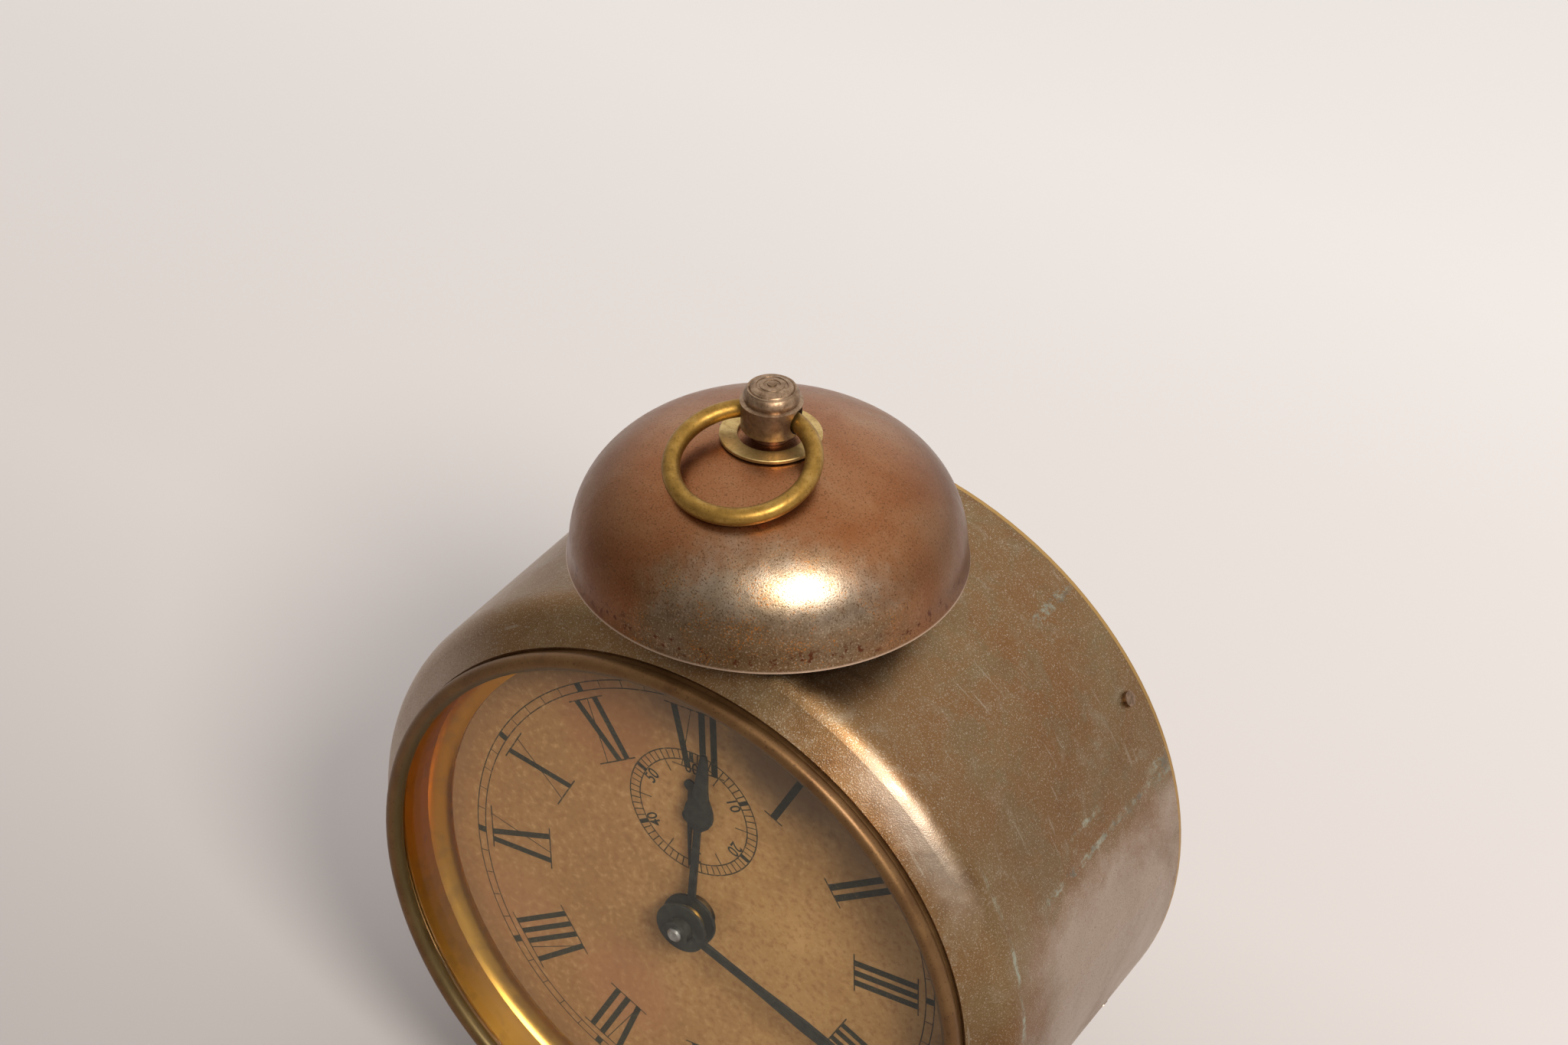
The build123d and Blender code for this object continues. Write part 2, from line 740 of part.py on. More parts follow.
def ring_gap(tilt):
    """The least gap between the carrying ring and the bell when the ring leans at an angle below level."""
    gaps = []
    for turn in range(40, 181, 5):
        across = ring_radius * math.sin(math.radians(turn))
        along = ring_centre - ring_radius * math.cos(math.radians(turn))
        forward = along * math.cos(math.radians(tilt))
        height = hinge_height - along * math.sin(math.radians(tilt))
        radius = math.hypot(across, forward)
        slope = (bell_height_at(radius + 0.1) - bell_height_at(radius - 0.1)) / 0.2
        gaps.append((height - bell_height_at(radius)) / math.hypot(1, slope) - ring_wire)
    return min(gaps)


ring_tilt = 0.0
while ring_gap(ring_tilt + 0.1) > ring_rest_gap:
    ring_tilt += 0.1
print(f"ring leans {ring_tilt:.1f} degrees below level")

with BuildPart() as carry_ring:
    lean = math.radians(ring_tilt)
    forward_way = Vector(hinge_way[1] * math.cos(lean), -hinge_way[0] * math.cos(lean), -math.sin(lean))
    ring_middle = hinge_place + forward_way * ring_centre
    with BuildSketch(Plane(origin=ring_middle, x_dir=hinge_way, z_dir=forward_way)) as wire:
        with Locations((ring_radius, 0)):
            Circle(ring_wire)
    revolve(wire.sketch, axis=Axis(ring_middle, Vector(*hinge_way).cross(forward_way)))
write(carry_ring, "carry_ring")

# The movement's plates and what joins them

pillar_spots = [(side * pillar_x, height) for height in (pillar_top, pillar_bottom) for side in (-1, 1)]


def plate(depth, holes):
    """Add a movement plate with its holes, each a place and a radius."""
    with BuildSketch(face(depth)) as outline:
        with Locations((0, (plate_top + plate_bottom) / 2)):
            RectangleRounded(2 * plate_half_width, plate_top - plate_bottom, plate_corner)
        for spot, radius in holes:
            with Locations(spot):
                Circle(radius, mode=Mode.SUBTRACT)
    extrude(outline.sketch, amount=-plate_thickness)


bearing_thread = 1.6
winding_pivot = 1.5
plain_pivots = [third_at, escape_at, lever_at, alarm_escape_at]
shared_holes = [(spot, pivot_radius + running_gap) for spot in plain_pivots]
shared_holes += [(spot, pillar_pivot + running_gap) for spot in pillar_spots]
shared_holes += [((0, 0), centre_arbor_radius + running_gap)]
shared_holes += [(setting_at, centre_arbor_radius + running_gap)]
shared_holes += [(balance_at, bearing_thread + running_gap)]

with BuildPart() as front_plate:
    front_holes = [(fourth_at, seconds_arbor_radius + running_gap), (minute_at, pivot_radius + running_gap),
                   (hammer_at, arbor_radius + running_gap), (release_at, pivot_radius + running_gap)]
    front_holes += [(spot, winding_pivot + running_gap) for spot in (great_at, alarm_at)]
    plate(front_plate_depth, shared_holes + front_holes)
write(front_plate, "front_plate")

with BuildPart() as back_plate:
    back_holes = [(fourth_at, pivot_radius + running_gap), (hammer_at, pivot_radius + running_gap),
                  (stop_at, pivot_radius + running_gap)]
    back_holes += [(spot, winding_arbor_radius + running_gap) for spot in (great_at, alarm_at)]
    back_holes += [(spot, cover_screw_radius + running_gap) for spot in cover_post_spots]
    plate(back_plate_depth, shared_holes + back_holes)
    arc_slot(stop_at, stop_arm, stop_arm_angle, stop_swing + 2, 2.6, back_plate_depth, plate_thickness)
write(back_plate, "back_plate")

with BuildPart() as pillars:
    for spot in pillar_spots:
        stub = plate_thickness + pillar_nut_height + 0.6
        disc(front_plate_rear + seat_gap, plate_spacing - 2 * seat_gap, pillar_radius, spot)
        disc(front_plate_depth - 0.2, plate_thickness + 0.3, pillar_pivot, spot)
        disc(back_plate_depth - seat_gap, stub, pillar_pivot, spot)
write(pillars, "pillars")

with BuildPart() as pillar_nuts:
    for spot in pillar_spots:
        with BuildSketch(face(back_plate_rear + seat_gap, spot)) as nut_outline:
            RegularPolygon(pillar_nut, 6)
            Circle(pillar_pivot + running_gap, mode=Mode.SUBTRACT)
        extrude(nut_outline.sketch, amount=-pillar_nut_height)
write(pillar_nuts, "pillar_nuts")

with BuildPart() as cover_posts:
    for spot in cover_post_spots:
        disc(back_plate_rear + seat_gap, panel_inner - back_plate_rear - 2 * seat_gap, 2.6, spot)
        disc(back_plate_rear, panel_inner - back_plate_rear, cover_screw_radius + running_gap, spot,
             Mode.SUBTRACT)
write(cover_posts, "cover_posts")

with BuildPart() as cover_screws:
    for spot in cover_post_spots:
        screw_front = back_plate_depth - 0.4
        disc(screw_front, panel_outer + seat_gap - screw_front, cover_screw_radius, spot)
        disc(panel_outer + seat_gap, 1.2, 2.7, spot)
        with BuildSketch(face(panel_outer + seat_gap + 0.7, spot)) as slit:
            Rectangle(6, 0.6)
        extrude(slit.sketch, amount=-1, mode=Mode.SUBTRACT)
write(cover_screws, "cover_screws")

# Hands and motion work

pipe_wall = 0.75
cannon_outer = centre_arbor_radius + running_gap + pipe_wall
hour_bore = cannon_outer + running_gap
hour_outer = hour_bore + pipe_wall
minute_hand_front = minute_pipe_front
hour_hand_front = hour_pipe_front
cannon_plane = 14.9
hour_plane = 13.0
drive_plane = 11.5

with BuildPart() as centre_arbor:
    disc(arbor_front, setting_end - arbor_front, centre_arbor_radius)
    chamfer(centre_arbor.edges().filter_by(GeomType.CIRCLE), 0.3)
write(centre_arbor, "centre_arbor")

with BuildPart() as cannon_pinion:
    gear(cannon_leaves, cannon_module, cannon_plane, 1.5, (0, 0), minute_at, leaf=True)
    disc(minute_pipe_front, cannon_plane + 0.1 - minute_pipe_front, cannon_outer)
    disc(minute_pipe_front, cannon_plane + 1.5 - minute_pipe_front, centre_arbor_radius + seat_gap,
         mode=Mode.SUBTRACT)
write(cannon_pinion, "cannon_pinion")

with BuildPart() as minute_wheel:
    gear(minute_teeth, cannon_module, cannon_plane + 0.15, wheel_thickness, minute_at, (0, 0))
    crossings(3.2, 6.6, cannon_plane + 0.15, wheel_thickness, minute_at, 4)
    minute_pinion = hour_plane - 0.2
    gear(minute_leaves, hour_module, minute_pinion, cannon_plane + 0.15 - minute_pinion, minute_at, (0, 0),
         leaf=True)
    disc(cannon_plane + 0.15, front_plate_rear - cannon_plane - 0.15, pivot_radius, minute_at)
write(minute_wheel, "minute_wheel")

with BuildPart() as hour_wheel:
    gear(hour_teeth, hour_module, hour_plane, wheel_thickness, (0, 0), minute_at)
    gear(alarm_drive_teeth, alarm_drive_module, drive_plane, 0.9, (0, 0), setting_at)
    disc(hour_pipe_front, hour_plane + wheel_thickness - hour_pipe_front, hour_outer)
    crossings(6.2, 11.8, drive_plane, 0.9, (0, 0), 4, 0.74)
    disc(hour_pipe_front, hour_plane + wheel_thickness - hour_pipe_front, hour_bore, mode=Mode.SUBTRACT)
write(hour_wheel, "hour_wheel")


def hand_plate(front, angle, outline_points, hub_radius, bore, at=(0, 0)):
    """Add a flat hand: one half of its outline from hub to tip, mirrored, on a round hub with a bore."""
    with BuildSketch(face(front, at)) as outline:
        for side in (-1, 1):
            points = [polar(math.hypot(along, across), angle + side * math.degrees(math.atan2(across, along)))
                      for along, across in outline_points]
            with BuildLine():
                Polyline((0, 0), *points, close=True)
            make_face()
        Circle(hub_radius)
        Circle(bore, mode=Mode.SUBTRACT)
    extrude(outline.sketch, amount=-hand_thickness)


hour_outline = [(2.0, 0.65), (18.2, 0.55), (18.9, 1.2), (19.6, 1.9), (20.5, 2.35), (21.6, 2.5), (22.7, 2.35),
                (23.8, 1.95), (25.0, 1.4), (26.5, 1.15), (29.8, 0.9), (32.2, 0.65), (hour_hand_length, 0.35),
                (hour_hand_length, 0)]
minute_outline = [(2.0, 0.75), (14.0, 0.7), (24.0, 1.15), (33.0, 0.95), (minute_hand_length - 0.5, 0.3),
                  (minute_hand_length, 0)]

with BuildPart() as hour_hand:
    hand_plate(hour_hand_front, hour_hand_angle, hour_outline, hand_disc_radius, hour_outer + seat_gap)
write(hour_hand, "hour_hand")

with BuildPart() as minute_hand:
    hand_plate(minute_hand_front, minute_hand_angle, minute_outline, hand_disc_radius - 0.2,
               cannon_outer + seat_gap)
write(minute_hand, "minute_hand")

with BuildPart() as hand_nut:
    disc(arbor_front + 0.7, minute_hand_front - seat_gap - arbor_front - 0.7, 2.1)
    disc(arbor_front, minute_hand_front - arbor_front, centre_arbor_radius + seat_gap, mode=Mode.SUBTRACT)
write(hand_nut, "hand_nut")

with BuildPart() as seconds_hand:
    with BuildSketch(face(seconds_hand_front, fourth_at)) as outline:
        with BuildLine():
            Polyline((-0.3, seconds_tail), (0.3, seconds_tail), (0.35, -2), (0.12, -seconds_tip),
                     (-0.12, -seconds_tip), (-0.35, -2), close=True)
        make_face()
        with Locations((0, seconds_tail)):
            Circle(seconds_blob)
        Circle(1.3)
        Circle(seconds_arbor_radius + seat_gap, mode=Mode.SUBTRACT)
    extrude(outline.sketch, amount=-0.3)
write(seconds_hand, "seconds_hand")

# The going train

centre_wheel_plane = 19.2
great_plane = 22.0
third_wheel_plane = 26.0
fourth_wheel_plane = 30.0
escape_plane = 35.0
ratchet_plane = 23.8
spring_plane = 28.4
sleeve_radius = 2.0

with BuildPart() as centre_wheel:
    gear(centre_teeth, centre_module, centre_wheel_plane, wheel_thickness, (0, 0), third_at)
    crossings(4.2, 11.6, centre_wheel_plane, wheel_thickness, (0, 0), 5)
    gear(centre_leaves, great_module, great_plane - 0.6, 2.8, (0, 0), great_at, leaf=True)
    disc(front_plate_rear + 0.2, 6.2, sleeve_radius)
    disc(front_plate_rear + 0.2, 6.2, centre_arbor_radius + running_gap, mode=Mode.SUBTRACT)
write(centre_wheel, "centre_wheel")

with BuildPart() as third_wheel:
    disc(front_plate_depth, plate_spacing + 2 * plate_thickness, pivot_radius, third_at)
    disc(front_plate_rear + 0.2, plate_spacing - 0.4, arbor_radius, third_at)
    gear(third_leaves, centre_module, centre_wheel_plane - 0.4, 2.2, third_at, (0, 0), leaf=True)
    gear(third_teeth, third_module, third_wheel_plane, wheel_thickness, third_at, fourth_at)
    crossings(3.6, 10.8, third_wheel_plane, wheel_thickness, third_at, 4)
write(third_wheel, "third_wheel")

with BuildPart() as fourth_wheel:
    disc(seconds_hand_front - 0.2, back_plate_rear - seconds_hand_front, seconds_arbor_radius, fourth_at)
    disc(front_plate_rear + 0.2, plate_spacing - 0.4, arbor_radius * 0.8, fourth_at)
    disc(back_plate_depth - 0.4, plate_thickness + 0.4, pivot_radius, fourth_at)
    gear(fourth_leaves, third_module, third_wheel_plane - 0.6, 2.6, fourth_at, third_at, leaf=True)
    gear(fourth_teeth, fourth_module, fourth_wheel_plane, wheel_thickness, fourth_at, escape_at)
    crossings(3.4, 10.6, fourth_wheel_plane, wheel_thickness, fourth_at, 4)
write(fourth_wheel, "fourth_wheel")

with BuildPart() as escape_wheel:
    disc(front_plate_depth, plate_spacing + 2 * plate_thickness, pivot_radius, escape_at)
    disc(front_plate_rear + 0.2, plate_spacing - 0.4, arbor_radius, escape_at)
    gear(escape_leaves, fourth_module, fourth_wheel_plane - 0.6, 2.6, escape_at, fourth_at, leaf=True)
    saw_wheel(escape_teeth, escape_radius, 1.5, escape_plane, wheel_thickness, escape_at, 1)
    crossings(2.2, 4.2, escape_plane, wheel_thickness, escape_at, 4)
write(escape_wheel, "escape_wheel")

roller_pin_reach = 2.2
roller_pin = 0.35
lever_length = balance_reach - roller_pin_reach - roller_pin - tooth_clearance
anchor_spread = 26.0

with BuildPart() as pallet_lever:
    disc(front_plate_depth, plate_spacing + 2 * plate_thickness, pivot_radius, lever_at)
    disc(front_plate_rear + 0.2, plate_spacing - 0.4, arbor_radius * 0.7, lever_at)
    toward_balance = bearing_of(lever_at, balance_at)
    toward_escape = bearing_of(escape_at, lever_at)
    pin_reach = escape_radius + tooth_clearance + pallet_pin
    pins = [polar(pin_reach, toward_escape + side * anchor_spread, escape_at) for side in (-1, 1)]
    lever_end = polar(lever_length - 0.9, toward_balance, lever_at)
    bar([pins[0], lever_at, pins[1]], 1.6, escape_plane - 1.4, 0.9)
    bar([lever_at, lever_end], 1.3, escape_plane - 1.4, 0.9)
    for pin in pins:
        disc(escape_plane - 1.0, wheel_thickness + 1.2, pallet_pin, pin)
write(pallet_lever, "pallet_lever")

balance_plane = 37.6
roller_plane = 33.9
bearing_gap = 0.1
screw_tip_front = front_plate_rear + 4.0
screw_tip_rear = back_plate_depth - 2.4

with BuildPart() as balance:
    staff_front = screw_tip_front + bearing_gap
    staff_length = screw_tip_rear - screw_tip_front - 2 * bearing_gap
    disc(staff_front, staff_length, balance_staff, balance_at)
    disc(balance_plane, wheel_thickness, balance_radius, balance_at)
    crossings(1.9, balance_radius - balance_rim, balance_plane, wheel_thickness, balance_at, 3, 0.84)
    disc(roller_plane + 1.2, 0.8, roller_pin_reach + 0.8, balance_at)
    disc(roller_plane - 0.2, 1.6, roller_pin, polar(roller_pin_reach, toward_balance + 180, balance_at))
write(balance, "balance")

with BuildPart() as bearing_screws:
    for plate_side in ("front", "rear"):
        if plate_side == "front":
            outer_end = front_plate_depth - 1.0
            inner_end = screw_tip_front
        else:
            outer_end = back_plate_rear + 1.4
            inner_end = screw_tip_rear
        disc(min(outer_end, inner_end), abs(outer_end - inner_end), bearing_thread, balance_at)
write(bearing_screws, "bearing_screws")

hairspring_plane = 40.2
with BuildPart() as hairspring:
    spiral(balance_staff + 0.7, hairspring_radius, hairspring_turns, hairspring_strip, hairspring_width,
           hairspring_plane, balance_at)
write(hairspring, "hairspring")

regulator_hub = 3.6
with BuildPart() as regulator:
    regulator_front = back_plate_rear + seat_gap
    tip = polar(regulator_reach, regulator_rest, balance_at)
    bar([balance_at, tip], 2.6, regulator_front, 0.7)
    disc(regulator_front, 0.7, regulator_hub, balance_at)
    disc(regulator_front, 0.7, bearing_thread + fit_gap, balance_at, Mode.SUBTRACT)
    disc(regulator_front, panel_outer + 4 - regulator_front, 0.75, tip)
write(regulator, "regulator")


def winding_arbor(at, label, ratchet_depth, hub_end):
    """A winding arbor with its ratchet: a pivot in each plate, a squared-off length behind the cover."""
    with BuildPart() as arbor:
        disc(front_plate_depth, plate_thickness + 0.3, winding_pivot, at)
        disc(front_plate_rear + 0.2, winding_end - front_plate_rear, winding_arbor_radius, at)
        disc(ratchet_depth + 1.4, hub_end - ratchet_depth - 1.4, 3.0, at)
        saw_wheel(ratchet_teeth, ratchet_radius, 1.0, ratchet_depth, 1.2, at, -1)
    write(arbor, label)


def great_wheel(at, label, teeth, module, depth, mate):
    """A great wheel: a heavy rim on four arms, free on its winding arbor."""
    with BuildPart() as wheel:
        root = (teeth / 2 - 1.15) * module
        gear(teeth, module, depth, 1.5, at, mate)
        crossings(great_hub_radius, root - 2.2, depth, 1.5, at, 4, 0.6)
        disc(depth, 1.5, winding_arbor_radius + running_gap, at, Mode.SUBTRACT)
    write(wheel, label)


def click(at, label, depth, angle):
    """A click beside its ratchet, on a short post on the great wheel."""
    with BuildPart() as pawl:
        post = polar(ratchet_radius + 2.4, angle, at)
        nose = polar(ratchet_radius + 1.1, angle - 42, at)
        bar([post, nose], 1.4, depth, 1.0)
        disc(depth - 0.3 + seat_gap, 1.6, 1.3, post)
    write(pawl, label)


def mainspring(at, label, depth, radius):
    """A mainspring: a wide strip wound loosely about its arbor."""
    with BuildPart() as spring:
        spiral(spring_core, radius, spring_turns, spring_strip, spring_width, depth, at)
    write(spring, label)


alarm_great_plane = 25.0
alarm_ratchet_plane = 26.9
alarm_spring_plane = 31.2
winding_arbor(great_at, "time_winding_arbor", ratchet_plane, spring_plane + spring_width)
winding_arbor(alarm_at, "alarm_winding_arbor", alarm_ratchet_plane, alarm_spring_plane + spring_width)
great_wheel(great_at, "time_great_wheel", great_teeth, great_module, great_plane, (0, 0))
great_wheel(alarm_at, "alarm_great_wheel", alarm_great_teeth, alarm_module, alarm_great_plane, alarm_escape_at)
click(great_at, "time_click", ratchet_plane, 45)
click(alarm_at, "alarm_click", alarm_ratchet_plane, 225)
mainspring(great_at, "time_mainspring", spring_plane, time_spring_radius)
mainspring(alarm_at, "alarm_mainspring", alarm_spring_plane, alarm_spring_radius)

# The alarm train

hammer_verge_plane = 29.0

with BuildPart() as alarm_escape_wheel:
    disc(front_plate_depth, plate_spacing + 2 * plate_thickness, pivot_radius, alarm_escape_at)
    disc(front_plate_rear + 0.2, plate_spacing - 0.4, arbor_radius, alarm_escape_at)
    gear(alarm_leaves, alarm_module, alarm_great_plane - 0.4, 2.3, alarm_escape_at, alarm_at, leaf=True)
    saw_wheel(escape_teeth, alarm_escape_radius, 1.5, hammer_verge_plane, wheel_thickness, alarm_escape_at, 1)
write(alarm_escape_wheel, "alarm_escape_wheel")

hammer_head_at = (bell_offset - 19.5, bell_rim_height + 5.4)
hammer_head_radius = 2.6
hammer_head_length = 5.0
rod_angle = bearing_of(hammer_at, hammer_head_at)

with BuildPart() as hammer:
    disc(hour_plane - 0.4, back_plate_rear - hour_plane + 0.4, pivot_radius, hammer_at)
    disc(front_plate_depth - 0.6, back_plate_depth - 0.2 - front_plate_depth + 0.6, arbor_radius, hammer_at)
    toward_wheel = bearing_of(alarm_escape_at, hammer_at)
    verge_reach = alarm_escape_radius + verge_clearance + pallet_pin
    verge_pins = [polar(verge_reach, toward_wheel + side * 24, alarm_escape_at) for side in (-1, 1)]
    bar([verge_pins[0], hammer_at, verge_pins[1]], 1.6, hammer_verge_plane - 1.4, 0.9)
    for pin in verge_pins:
        disc(hammer_verge_plane - 1.0, wheel_thickness + 1.2, pallet_pin, pin)
    disc(hammer_plane - 1.4, 2.8, 2.0, hammer_at)
    bar([hammer_at, polar(6.0, 195, hammer_at)], 1.4, hour_plane - 0.4, 0.9)
    way = polar(1, rod_angle)
    rod_foot = polar(1.0, rod_angle, hammer_at)
    rod_length = math.dist(hammer_at, hammer_head_at) - 1.0
    with BuildSketch(Plane(origin=(rod_foot[0], hammer_plane - y_shift, axis_height + rod_foot[1]),
                           x_dir=(0, 1, 0), z_dir=(way[0], 0, way[1]))) as rod:
        Circle(rod_radius)
    extrude(rod.sketch, amount=rod_length)
    with BuildSketch(Plane(origin=(hammer_head_at[0], hammer_plane - y_shift, axis_height + hammer_head_at[1]),
                           x_dir=(0, 1, 0), z_dir=(way[1], 0, -way[0]))) as head:
        Circle(hammer_head_radius)
    extrude(head.sketch, amount=hammer_head_length / 2, both=True)
write(hammer, "hammer")

with BuildPart() as alarm_wheel:
    gear(alarm_drive_teeth, alarm_drive_module, drive_plane, 0.9, setting_at, (0, 0), leaf=True)
    crossings(4.4, 11.4, drive_plane, 0.9, setting_at, 4, 0.74)
    disc(drive_plane, 1.3, 2.4, setting_at)
    disc(drive_plane, 1.3, centre_arbor_radius + running_gap, setting_at, Mode.SUBTRACT)
write(alarm_wheel, "alarm_wheel")

cam_radius = 6.0
cam_plane = 13.1
with BuildPart() as alarm_arbor:
    disc(drive_plane - 0.3, setting_end - drive_plane + 0.3, centre_arbor_radius, setting_at)
    disc(cam_plane, 1.4, cam_radius, setting_at)
    with BuildSketch(face(cam_plane, setting_at)) as notch:
        with BuildLine():
            Polyline((0, -3.6), (0.2, -cam_radius - 1), (3.0, -cam_radius - 1), close=True)
        make_face()
    extrude(notch.sketch, amount=-1.4, mode=Mode.SUBTRACT)
write(alarm_arbor, "alarm_arbor")

with BuildPart() as release_lever:
    beak = polar(cam_radius + 1.2, 172, setting_at)
    tail = (-27.5, 6.2)
    bar([beak, release_at, tail], 1.8, cam_plane, 0.9)
    disc(cam_plane - 0.2, front_plate_rear - cam_plane + 0.2, pivot_radius, release_at)
    disc(cam_plane + 0.8, front_plate_depth - cam_plane - 1.0, 1.5, release_at)
write(release_lever, "release_lever")

with BuildPart() as stop_lever:
    lever_front = back_plate_rear + 0.2
    pin_at = polar(stop_arm, stop_arm_angle, stop_at)
    bar([pin_at, stop_at, stop_pin_at], 2.4, lever_front, 0.9)
    disc(back_plate_depth, lever_front - back_plate_depth + 0.5, pivot_radius, stop_at)
    latch_front = hammer_plane - 2 * rod_radius
    disc(latch_front, lever_front - latch_front, 0.8, pin_at)
    disc(lever_front, panel_outer + 3.0 - lever_front, 1.2, stop_pin_at)
    disc(panel_outer + 2.0, 4.5, 2.6, stop_pin_at)
write(stop_lever, "stop_lever")

# What is worked from behind


def winding_key(at, label):
    """A winding key: a hub with a blind bore and a pair of rounded bows."""
    with BuildPart() as key:
        hub_front = panel_outer + 1.5
        disc(hub_front, key_hub_length, key_hub_radius, at)
        bow_depth = key_end - key_bow_radius - y_shift
        level = Plane(origin=(at[0], 0, axis_height + at[1]), x_dir=(1, 0, 0), z_dir=(0, 0, 1))
        with BuildSketch(level) as bows:
            for side in (-1, 1):
                with Locations((side * key_bow_offset, bow_depth)):
                    Circle(key_bow_radius)
            with Locations((0, bow_depth - 1)):
                Rectangle(2 * key_bow_offset, key_bow_radius)
        extrude(bows.sketch, amount=key_bow_thickness / 2, both=True)
        disc(hub_front, winding_end - hub_front + 0.4, winding_arbor_radius + seat_gap, at, Mode.SUBTRACT)
    write(key, label)


winding_key(great_at, "time_key")
winding_key(alarm_at, "alarm_key")


def knob(at, label, radius, front):
    """A fluted knob with a blind bore for its arbor."""
    with BuildPart() as turned_knob:
        disc(front, 1.6, radius * 0.6, at)
        disc(front + 1.5, knob_length, radius, at)
        with BuildSketch(face(front + 1.5, at)) as flutes:
            with PolarLocations(radius, knob_flutes):
                Circle(flute_radius)
        extrude(flutes.sketch, amount=-knob_length, mode=Mode.SUBTRACT)
        disc(front, setting_end - front + 0.3, centre_arbor_radius + seat_gap, at, Mode.SUBTRACT)
    write(turned_knob, label)


alarm_hand_depth = panel_outer + 0.8
knob((0, 0), "set_knob", knob_radius, panel_outer + 1.0)
knob(setting_at, "alarm_knob", knob_radius * 0.8, alarm_hand_depth + 0.6)

with BuildPart() as alarm_hand:
    with BuildSketch(face(alarm_hand_depth, setting_at)) as outline:
        with BuildLine():
            Polyline((-1.2, 0), (0, 9.6), (1.2, 0), close=True)
        make_face()
        Circle(2.6)
        Circle(centre_arbor_radius + seat_gap, mode=Mode.SUBTRACT)
    extrude(outline.sketch, amount=-0.5)
write(alarm_hand, "alarm_hand")
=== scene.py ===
# %% [markdown]
# # A wind-up alarm clock with one bell
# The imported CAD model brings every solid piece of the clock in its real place. This lesson dresses
# it: a camera and a lamp, a finish for every metal, and the printing on the dial and on the rear
# cover. Lengths are in metres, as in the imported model. The clock faces -Y and +Z is up.

import bpy
import math
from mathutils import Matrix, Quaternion, Vector


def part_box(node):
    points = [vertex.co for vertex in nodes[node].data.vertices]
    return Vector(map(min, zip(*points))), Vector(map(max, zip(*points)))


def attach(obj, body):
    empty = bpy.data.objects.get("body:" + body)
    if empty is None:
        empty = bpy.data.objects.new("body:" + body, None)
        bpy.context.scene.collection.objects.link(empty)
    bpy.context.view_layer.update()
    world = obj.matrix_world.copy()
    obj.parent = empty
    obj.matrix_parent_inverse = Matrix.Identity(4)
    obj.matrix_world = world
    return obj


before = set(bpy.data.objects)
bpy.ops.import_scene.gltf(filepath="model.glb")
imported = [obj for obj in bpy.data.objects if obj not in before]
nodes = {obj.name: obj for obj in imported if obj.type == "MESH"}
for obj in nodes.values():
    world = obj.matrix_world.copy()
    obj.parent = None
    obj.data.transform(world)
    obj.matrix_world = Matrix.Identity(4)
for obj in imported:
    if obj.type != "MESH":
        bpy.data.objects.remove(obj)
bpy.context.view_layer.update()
mm = 0.001
print("pieces from the CAD model:", len(nodes))

# %% [markdown]
# The printing stands on the dial plate, and the wear on the drum is placed by its distance behind
# the bead. These places could be typed in, but then they would be wrong as soon as the model
# changes, so they are read from the CAD pieces.

# %% Sizes read from the frame
bead_radius = 1.35 * mm
dial_low, dial_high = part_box("dial")
axis_height = (dial_low.z + dial_high.z) / 2
dial_front = dial_low.y
bead_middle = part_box("bezel_ring")[0].y + bead_radius
drum_front = (0, bead_middle / mm, axis_height / mm)
print("middle of the bead in mm:", [round(v, 2) for v in drum_front])

# %% [markdown]
# ## Stage, camera and lamp
# The camera stands to the right of the clock and looks down on it. It could be moved by eye until
# the view looks right, but a fit is closer: its place comes from the ellipses that the bead, the
# minute track and the bell's rim make in the photograph.

# %% Camera
def heading(azimuth, elevation):
    """The direction at an angle to the right of the clock's front and an angle above the table."""
    turn, rise = math.radians(azimuth), math.radians(elevation)
    return Vector((
        math.sin(turn) * math.cos(rise),
        -math.cos(turn) * math.cos(rise),
        math.sin(rise),
    ))


view_azimuth, view_elevation, view_roll = 30.75, 35.176, 1.393
away = heading(view_azimuth, view_elevation)
camera_data = bpy.data.cameras.new("Camera")
camera = bpy.data.objects.new("Camera", camera_data)
bpy.context.scene.collection.objects.link(camera)
roll = Quaternion((0, 0, 1), math.radians(view_roll))
camera.rotation_mode = "QUATERNION"
camera.location = (0.23077, -0.39178, 0.43976)
camera.rotation_quaternion = (-away).to_track_quat("-Z", "Y") @ roll
camera_data.lens = 85.02
camera_data.sensor_width = 36
bpy.context.scene.camera = camera
bpy.context.scene.view_settings.view_transform = "Standard"
print("camera at", [round(v, 3) for v in camera.location])

# %% [markdown]
# One soft lamp lights the clock from the right. A wide lamp gives soft shadows, and a metal shows it
# as a highlight. Its direction comes from where the highlight lies on the bell, because there the
# surface faces halfway between the lamp and the camera.

# %% Lamp
lamp_azimuth, lamp_elevation, lamp_distance = 52, 41, 1.3
lamp_data = bpy.data.lights.new("key_lamp", "AREA")
lamp_data.shape = "DISK"
lamp_data.size = 0.34
lamp_data.energy = 15
lamp_data.color = (1.0, 0.96, 0.9)
lamp = bpy.data.objects.new("key_lamp", lamp_data)
bpy.context.scene.collection.objects.link(lamp)
lamp_way = heading(lamp_azimuth, lamp_elevation)
lamp.location = Vector((0, 0, axis_height)) + lamp_way * lamp_distance
lamp.rotation_mode = "QUATERNION"
lamp.rotation_quaternion = (-lamp_way).to_track_quat("-Z", "Y")
print("lamp at", [round(v, 3) for v in lamp.location])

# %% [markdown]
# A finish in Blender is a tree of small nodes, and so is the light of the world. The nodes could be
# dragged in by hand. A few helpers add them here, so that each finish reads like a recipe and keeps
# its numbers in one place.

